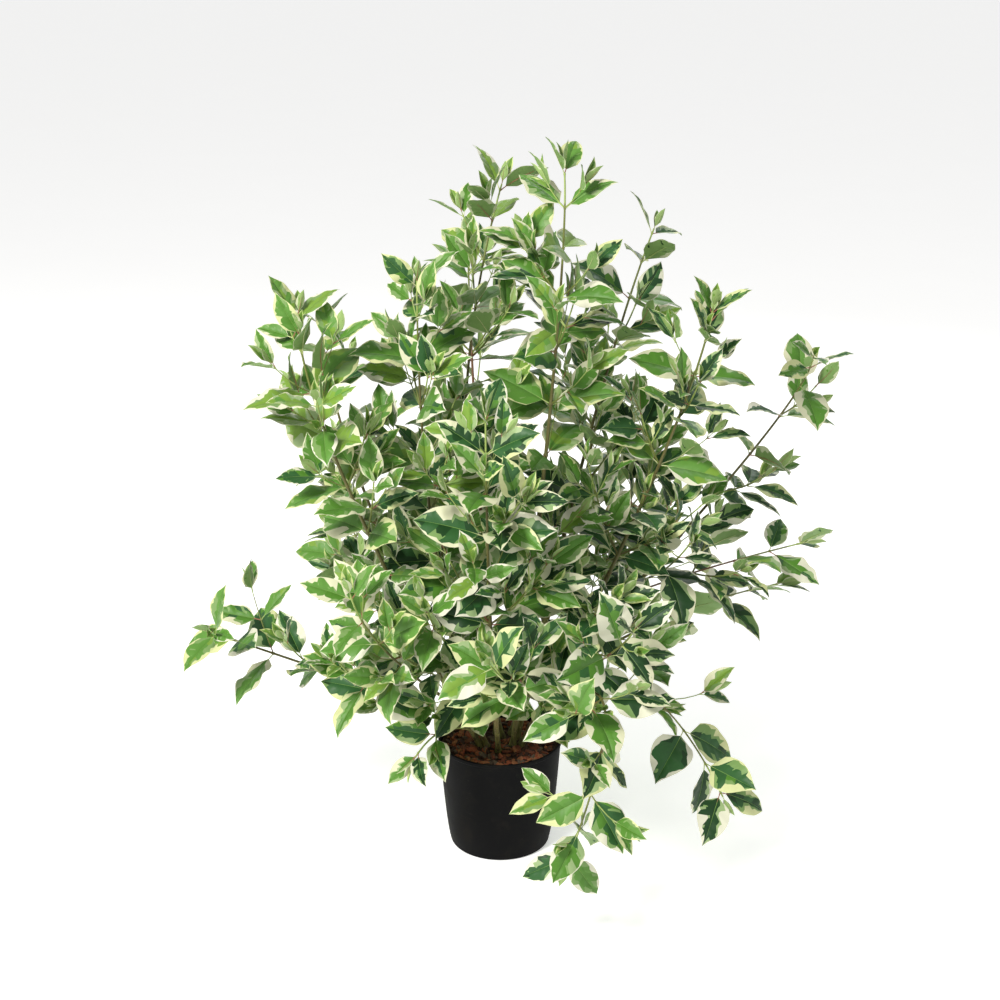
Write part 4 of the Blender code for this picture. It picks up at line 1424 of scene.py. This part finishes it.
def compost_piece():
    """The fill of the pot, with a rough top that heaves a little."""
    bottom = POT_FLOOR + GAP
    depth = SOIL_TOP - SOIL_SINK - POT_HEEL
    heights = [POT_HEEL + depth * i / SOIL_COURSES for i in range(1, SOIL_COURSES + 1)]
    profile = [(0, bottom), (pot_radius(POT_HEEL) - POT_WALL - POT_HEEL, bottom)]
    profile += [(pot_radius(z) - POT_WALL - 2 * GAP, z) for z in heights]
    edge = profile[-1][0]
    profile += [(edge * (1 - i / SOIL_RINGS), SOIL_TOP) for i in range(1, SOIL_RINGS)] + [(0, SOIL_TOP)]
    points, faces = turned(profile, SOIL_SIDES)
    top = SOIL_TOP - SOIL_SINK
    bundle = Bundle()
    bundle.add([(x, y, z + heave(x, y) if z >= top else z) for x, y, z in points], faces, 0)
    return bundle.piece("compost", [COMPOST], sharp_degrees=60.0)


def chip_piece(feet):
    """Broken chips of bark that lie on the compost, clear of the pot and of the feet of the stems."""
    chance = random.Random("bark chips")
    bundle = Bundle()
    room = pot_radius(CHIP_TOP) - POT_WALL - CHIP_OFF_WALL
    for _ in range(CHIPS):
        length = chance.uniform(*CHIP_LENGTH)
        width = length * chance.uniform(*CHIP_SLIM)
        thick = chance.uniform(*CHIP_THICK)
        reach = (room - length / 2) * math.sqrt(chance.random())
        spot = polar(chance.uniform(0, 360), reach, SOIL_TOP + chance.uniform(*CHIP_LIFT))
        if any((spot - foot).xy.length < width / 2 + CHIP_OFF_FOOT for foot in feet):
            continue
        along = Vector((chance.gauss(0, 1), chance.gauss(0, 1), chance.gauss(0, CHIP_TILT)))
        along.normalize()
        up = Vector((chance.gauss(0, CHIP_TILT), chance.gauss(0, CHIP_TILT), 1))
        side = up.cross(along).normalized()
        up = along.cross(side)
        sides = chance.randint(*CHIP_CORNERS)
        outline = []
        for i in range(sides):
            angle = math.tau * (i + chance.uniform(-CHIP_SKEW, CHIP_SKEW)) / sides
            far = chance.uniform(*CHIP_UNEVEN)
            outline.append((length / 2 * far * math.cos(angle), width / 2 * far * math.sin(angle)))
        points = []
        for layer, share in CHIP_LAYERS:
            for x, y in outline:
                lift = layer * thick + chance.uniform(-CHIP_ROUGH, CHIP_ROUGH) * thick
                points.append(spot + along * (x * share) + side * (y * share) + up * lift)
        if max(point.z for point in points) < POT_HEIGHT - CHIP_OFF_RIM:
            shade = chance.randrange(len(CHIP_COLOURS))
            bundle.add(points, tube_faces(len(CHIP_LAYERS), sides), shade)
    return bundle.piece("bark_chips", CHIP_FINISHES, sharp_degrees=35.0)


class Wire:
    """A value on its way through a material; arithmetic on it adds Math nodes."""

    def __init__(self, board, socket):
        self.board = board
        self.socket = socket

    def maths(self, operation, first, second):
        return self.board.node("ShaderNodeMath", {"operation": operation}, {0: first, 1: second})

    def __add__(self, other):
        return self.maths("ADD", self, other)

    def __sub__(self, other):
        return self.maths("SUBTRACT", self, other)

    def __rsub__(self, other):
        return self.maths("SUBTRACT", other, self)

    def __mul__(self, other):
        return self.maths("MULTIPLY", self, other)

    __radd__ = __add__
    __rmul__ = __mul__


class Board:
    """A material under construction, with one method that adds any node."""

    def __init__(self, name, rest_colour, roughness):
        self.material = bpy.data.materials.new(name)
        self.material.use_nodes = True
        self.material.diffuse_color = (*rest_colour, 1.0)
        self.tree = self.material.node_tree
        self.shader = self.tree.nodes["Principled BSDF"]
        self.shader.inputs["Base Color"].default_value = (*rest_colour, 1.0)
        self.shader.inputs["Roughness"].default_value = roughness

    def node(self, kind, settings, sockets, output=0):
        """Any node: its settings are set first, then the values or links of its sockets."""
        made = self.tree.nodes.new(kind)
        for name, value in settings.items():
            if name == "stops":
                self.set_stops(made.color_ramp, value)
            else:
                setattr(made, name, value)
        for name, value in sockets.items():
            self.feed(made.inputs[name], value)
        return Wire(self, made.outputs[output])

    @staticmethod
    def set_stops(ramp, stops):
        while len(ramp.elements) < len(stops):
            ramp.elements.new(0.5)
        for element, (place, shade) in zip(ramp.elements, stops):
            element.position = place
            element.color = (*shade, 1.0)

    def feed(self, socket, value):
        """Links a socket to a value on its way, or sets it to a colour or a number."""
        if isinstance(value, Wire):
            self.tree.links.new(value.socket, socket)
        elif isinstance(value, tuple) and len(value) == 3 and len(socket.default_value) == 4:
            socket.default_value = (*value, 1.0)
        else:
            socket.default_value = value

    def place(self, stretch=(1.0, 1.0, 1.0)):
        """The spot on the piece, squeezed or stretched along each axis."""
        spot = self.node("ShaderNodeTexCoord", {}, {}, "Object")
        return self.node("ShaderNodeVectorMath", {"operation": "MULTIPLY"}, {0: spot, 1: stretch})

    def clouds(self, spot, scale, detail=3.0, roughness=0.55):
        values = {"Vector": spot, "Scale": scale, "Detail": detail, "Roughness": roughness}
        return self.node("ShaderNodeTexNoise", {}, values, "Fac")

    def between(self, value, low, high):
        """A value's place between two limits, from 0 to 1 with soft ends."""
        limits = {"Value": value, "From Min": low, "From Max": high}
        return self.node("ShaderNodeMapRange", {"interpolation_type": "SMOOTHSTEP"}, limits)

    def ramp(self, value, stops):
        """A colour for every value, from places and eyedropper colours on a scale of 0 to 1."""
        stops = [(place, colour(*shade)) for place, shade in stops]
        return self.node("ShaderNodeValToRGB", {"stops": stops}, {"Fac": value}, "Color")

    def blend(self, share, first, second):
        return self.node("ShaderNodeMix", {"data_type": "RGBA"}, {0: share, 6: first, 7: second}, 2)

    def finish(self, shade=None, roughness=None, height=None, depth=0.0):
        """The finished material, with what changes over its surface and the depth of its relief."""
        if shade:
            self.feed(self.shader.inputs["Base Color"], shade)
        if roughness:
            self.feed(self.shader.inputs["Roughness"], roughness)
        if height:
            values = {"Height": height, "Distance": depth, "Strength": 1.0}
            bump = self.node("ShaderNodeBump", {}, values, "Normal")
            self.feed(self.shader.inputs["Normal"], bump)
        return self.material


def plain(name, shade, roughness, sheen=0.5):
    """A material of one colour."""
    board = Board(name, colour(*shade), roughness)
    board.shader.inputs["Specular IOR Level"].default_value = sheen
    return board.finish()


def bark_material():
    """Young olive-brown bark, flushed red here and there, with pale breathing pores and fine streaks."""
    board = Board("dogwood_bark", colour(98, 82, 48), roughness=0.6)
    streaks = board.clouds(board.place((260.0, 260.0, 34.0)), scale=1.0, detail=4.0)
    patches = board.clouds(board.place(), scale=26.0, detail=2.0)
    cells = {"Vector": board.place((1.0, 1.0, 0.55)), "Scale": 330.0}
    off_pore = board.node("ShaderNodeTexVoronoi", {"feature": "F1"}, cells, "Distance")
    pore = 1 - board.between(off_pore, low=0.10, high=0.26)
    wood = board.ramp(streaks, BARK_SHADES)
    flush = board.between(patches, low=0.52, high=0.70) * 0.4
    flushed = board.blend(flush, wood, colour(104, 66, 40))
    shade = board.blend(pore * 0.55, flushed, colour(168, 148, 112))
    roughness = 0.48 + streaks * 0.3
    height = streaks * 0.6 + pore * 0.7
    return board.finish(shade, roughness, height, depth=0.0004)


def plastic_material():
    """Matt black moulded plastic with a fine grain, faint dust and a few pale scuffs."""
    black = colour(13, 13, 14)
    board = Board("pot_plastic", black, roughness=0.6)
    spot = board.place()
    grain = board.clouds(spot, scale=900.0, detail=2.0)
    film = board.clouds(spot, scale=24.0, detail=5.0, roughness=0.65)
    dust = board.between(film, low=0.50, high=0.78)
    specks = board.between(board.clouds(spot, scale=210.0, detail=2.0), low=0.70, high=0.80)
    rubs = board.clouds(board.place((30.0, 30.0, 260.0)), scale=1.0, detail=3.0)
    scuffs = board.between(rubs, low=0.66, high=0.80)
    pale = dust * 0.03 + specks * 0.06 + scuffs * 0.02
    shade = board.blend(pale, black, colour(140, 130, 114))
    roughness = 0.56 + dust * 0.20 + grain * 0.08
    board.shader.inputs["Specular IOR Level"].default_value = 0.06
    return board.finish(shade, roughness, grain, depth=0.00012)


def compost_material():
    """Moist reddish-brown compost of fine bark crumbs."""
    board = Board("bark_compost", colour(58, 34, 25), roughness=0.95)
    crumbs = board.clouds(board.place(), scale=420.0, detail=5.0, roughness=0.7)
    shade = board.ramp(crumbs, COMPOST_SHADES)
    roughness = 0.85 + crumbs * 0.12
    return board.finish(shade, roughness, crumbs, depth=0.002)


def floor_material():
    """A pale floor that glows a little, so that the shadow on it stays soft."""
    board = Board("studio_floor", colour(250, 250, 249), roughness=0.9)
    mottle = board.clouds(board.place(), scale=3.0, detail=3.0)
    shade = board.blend(mottle, colour(249, 249, 248), colour(252, 252, 251))
    board.shader.inputs["Emission Color"].default_value = (1.0, 1.0, 1.0, 1.0)
    board.shader.inputs["Emission Strength"].default_value = FLOOR_GLOW
    return board.finish(shade)


def side_of(limb):
    """The side of the plant on which a limb's foliage hangs."""
    if limb.reach < MIDDLE_REACH:
        return "middle"
    quarter = round(limb.azimuth / 90) % 4
    return ("right", "back", "left", "front")[quarter]


def add_lamp(name, place, target, size, power, shade):
    """A round soft lamp at a place, turned to the point that it lights."""
    lamp = bpy.data.lights.new(name, "AREA")
    lamp.shape = "DISK"
    lamp.size = size
    lamp.energy = power
    lamp.color = shade
    thing = bpy.data.objects.new(name, lamp)
    thing.location = place
    thing.rotation_euler = (Vector(target) - Vector(place)).to_track_quat("-Z", "Y").to_euler()
    bpy.context.scene.collection.objects.link(thing)


def add_floor():
    """A wide pale floor."""
    mesh = bpy.data.meshes.new("floor")
    half = FLOOR_SIDE / 2
    corners = [(-half, -half, 0), (half, -half, 0), (half, half, 0), (-half, half, 0)]
    mesh.from_pydata(corners, [], [(0, 1, 2, 3)])
    mesh.materials.append(floor_material())
    floor = bpy.data.objects.new("floor", mesh)
    bpy.context.scene.collection.objects.link(floor)


def add_sky():
    """A plain white sky."""
    world = bpy.data.worlds.new("pale_studio")
    world.use_nodes = True
    sky = world.node_tree.nodes["Background"]
    sky.inputs["Color"].default_value = (1.0, 1.0, 1.0, 1.0)
    sky.inputs["Strength"].default_value = SKY_STRENGTH
    bpy.context.scene.world = world


def add_camera():
    """The camera, placed and tilted as the one that took the photograph."""
    lens = bpy.data.cameras.new("camera")
    lens.sensor_width = SENSOR
    lens.lens = SENSOR * FOCAL_PIXELS / PHOTO_SIDE
    lens.clip_end = VIEW_LIMIT
    camera = bpy.data.objects.new("camera", lens)
    camera.location = CAMERA_PLACE
    camera.rotation_euler = (math.radians(90 - CAMERA_DOWN), 0, 0)
    bpy.context.scene.collection.objects.link(camera)
    bpy.context.scene.camera = camera
    bpy.context.scene.view_settings.view_transform = "Standard"
    bpy.context.scene.view_settings.look = "None"


ROUTES = {}
for limb in LIMBS:
    ROUTES[limb.name] = limb_route(limb, ROUTES)

BARK = bark_material()
PLASTIC = plastic_material()
COMPOST = compost_material()
LEAF_FINISHES = [plain(name, shade, LEAF_ROUGHNESS, LEAF_SHEEN) for name, shade in LEAF_COLOURS.items()]
TWIG_FINISHES = [plain(name, shade, TWIG_ROUGHNESS) for name, shade in TWIG_COLOURS.items()]
PETIOLE_FINISHES = [plain(name, shade, TWIG_ROUGHNESS) for name, shade in PETIOLE_COLOURS.items()]
CHIP_FINISHES = [plain(name, shade, CHIP_ROUGHNESS, CHIP_SHEEN) for name, shade in CHIP_COLOURS.items()]

masses = grow_masses()
for place, name in enumerate(("middle", "right", "back", "left", "front")):
    here = [mass for mass in masses if side_of(mass.limb) == name]
    leaves = [leaf for mass in here for leaf in mass.leaves]
    pieces = leaf_pieces(name, leaves, SIDE_SEED * (place + 1))
    pieces.append(twig_piece(f"twigs_{name}", here))
    for piece in pieces:
        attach(piece, "root")
        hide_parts(*[mass.name for mass in here])

for limb in LIMBS:
    piece = bark_piece(limb, ROUTES[limb.name])
    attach(piece, "root")
    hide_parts(limb.name)

pot = pot_piece()
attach(pot, "root")
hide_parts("pot")

compost = compost_piece()
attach(compost, "root")
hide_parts("soil")

chips = chip_piece([ROUTES[limb.name].foot for limb in LIMBS if limb.parent == "soil"])
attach(chips, "root")

add_floor()
add_sky()
for lamp in LAMPS:
    add_lamp(*lamp)
add_camera()
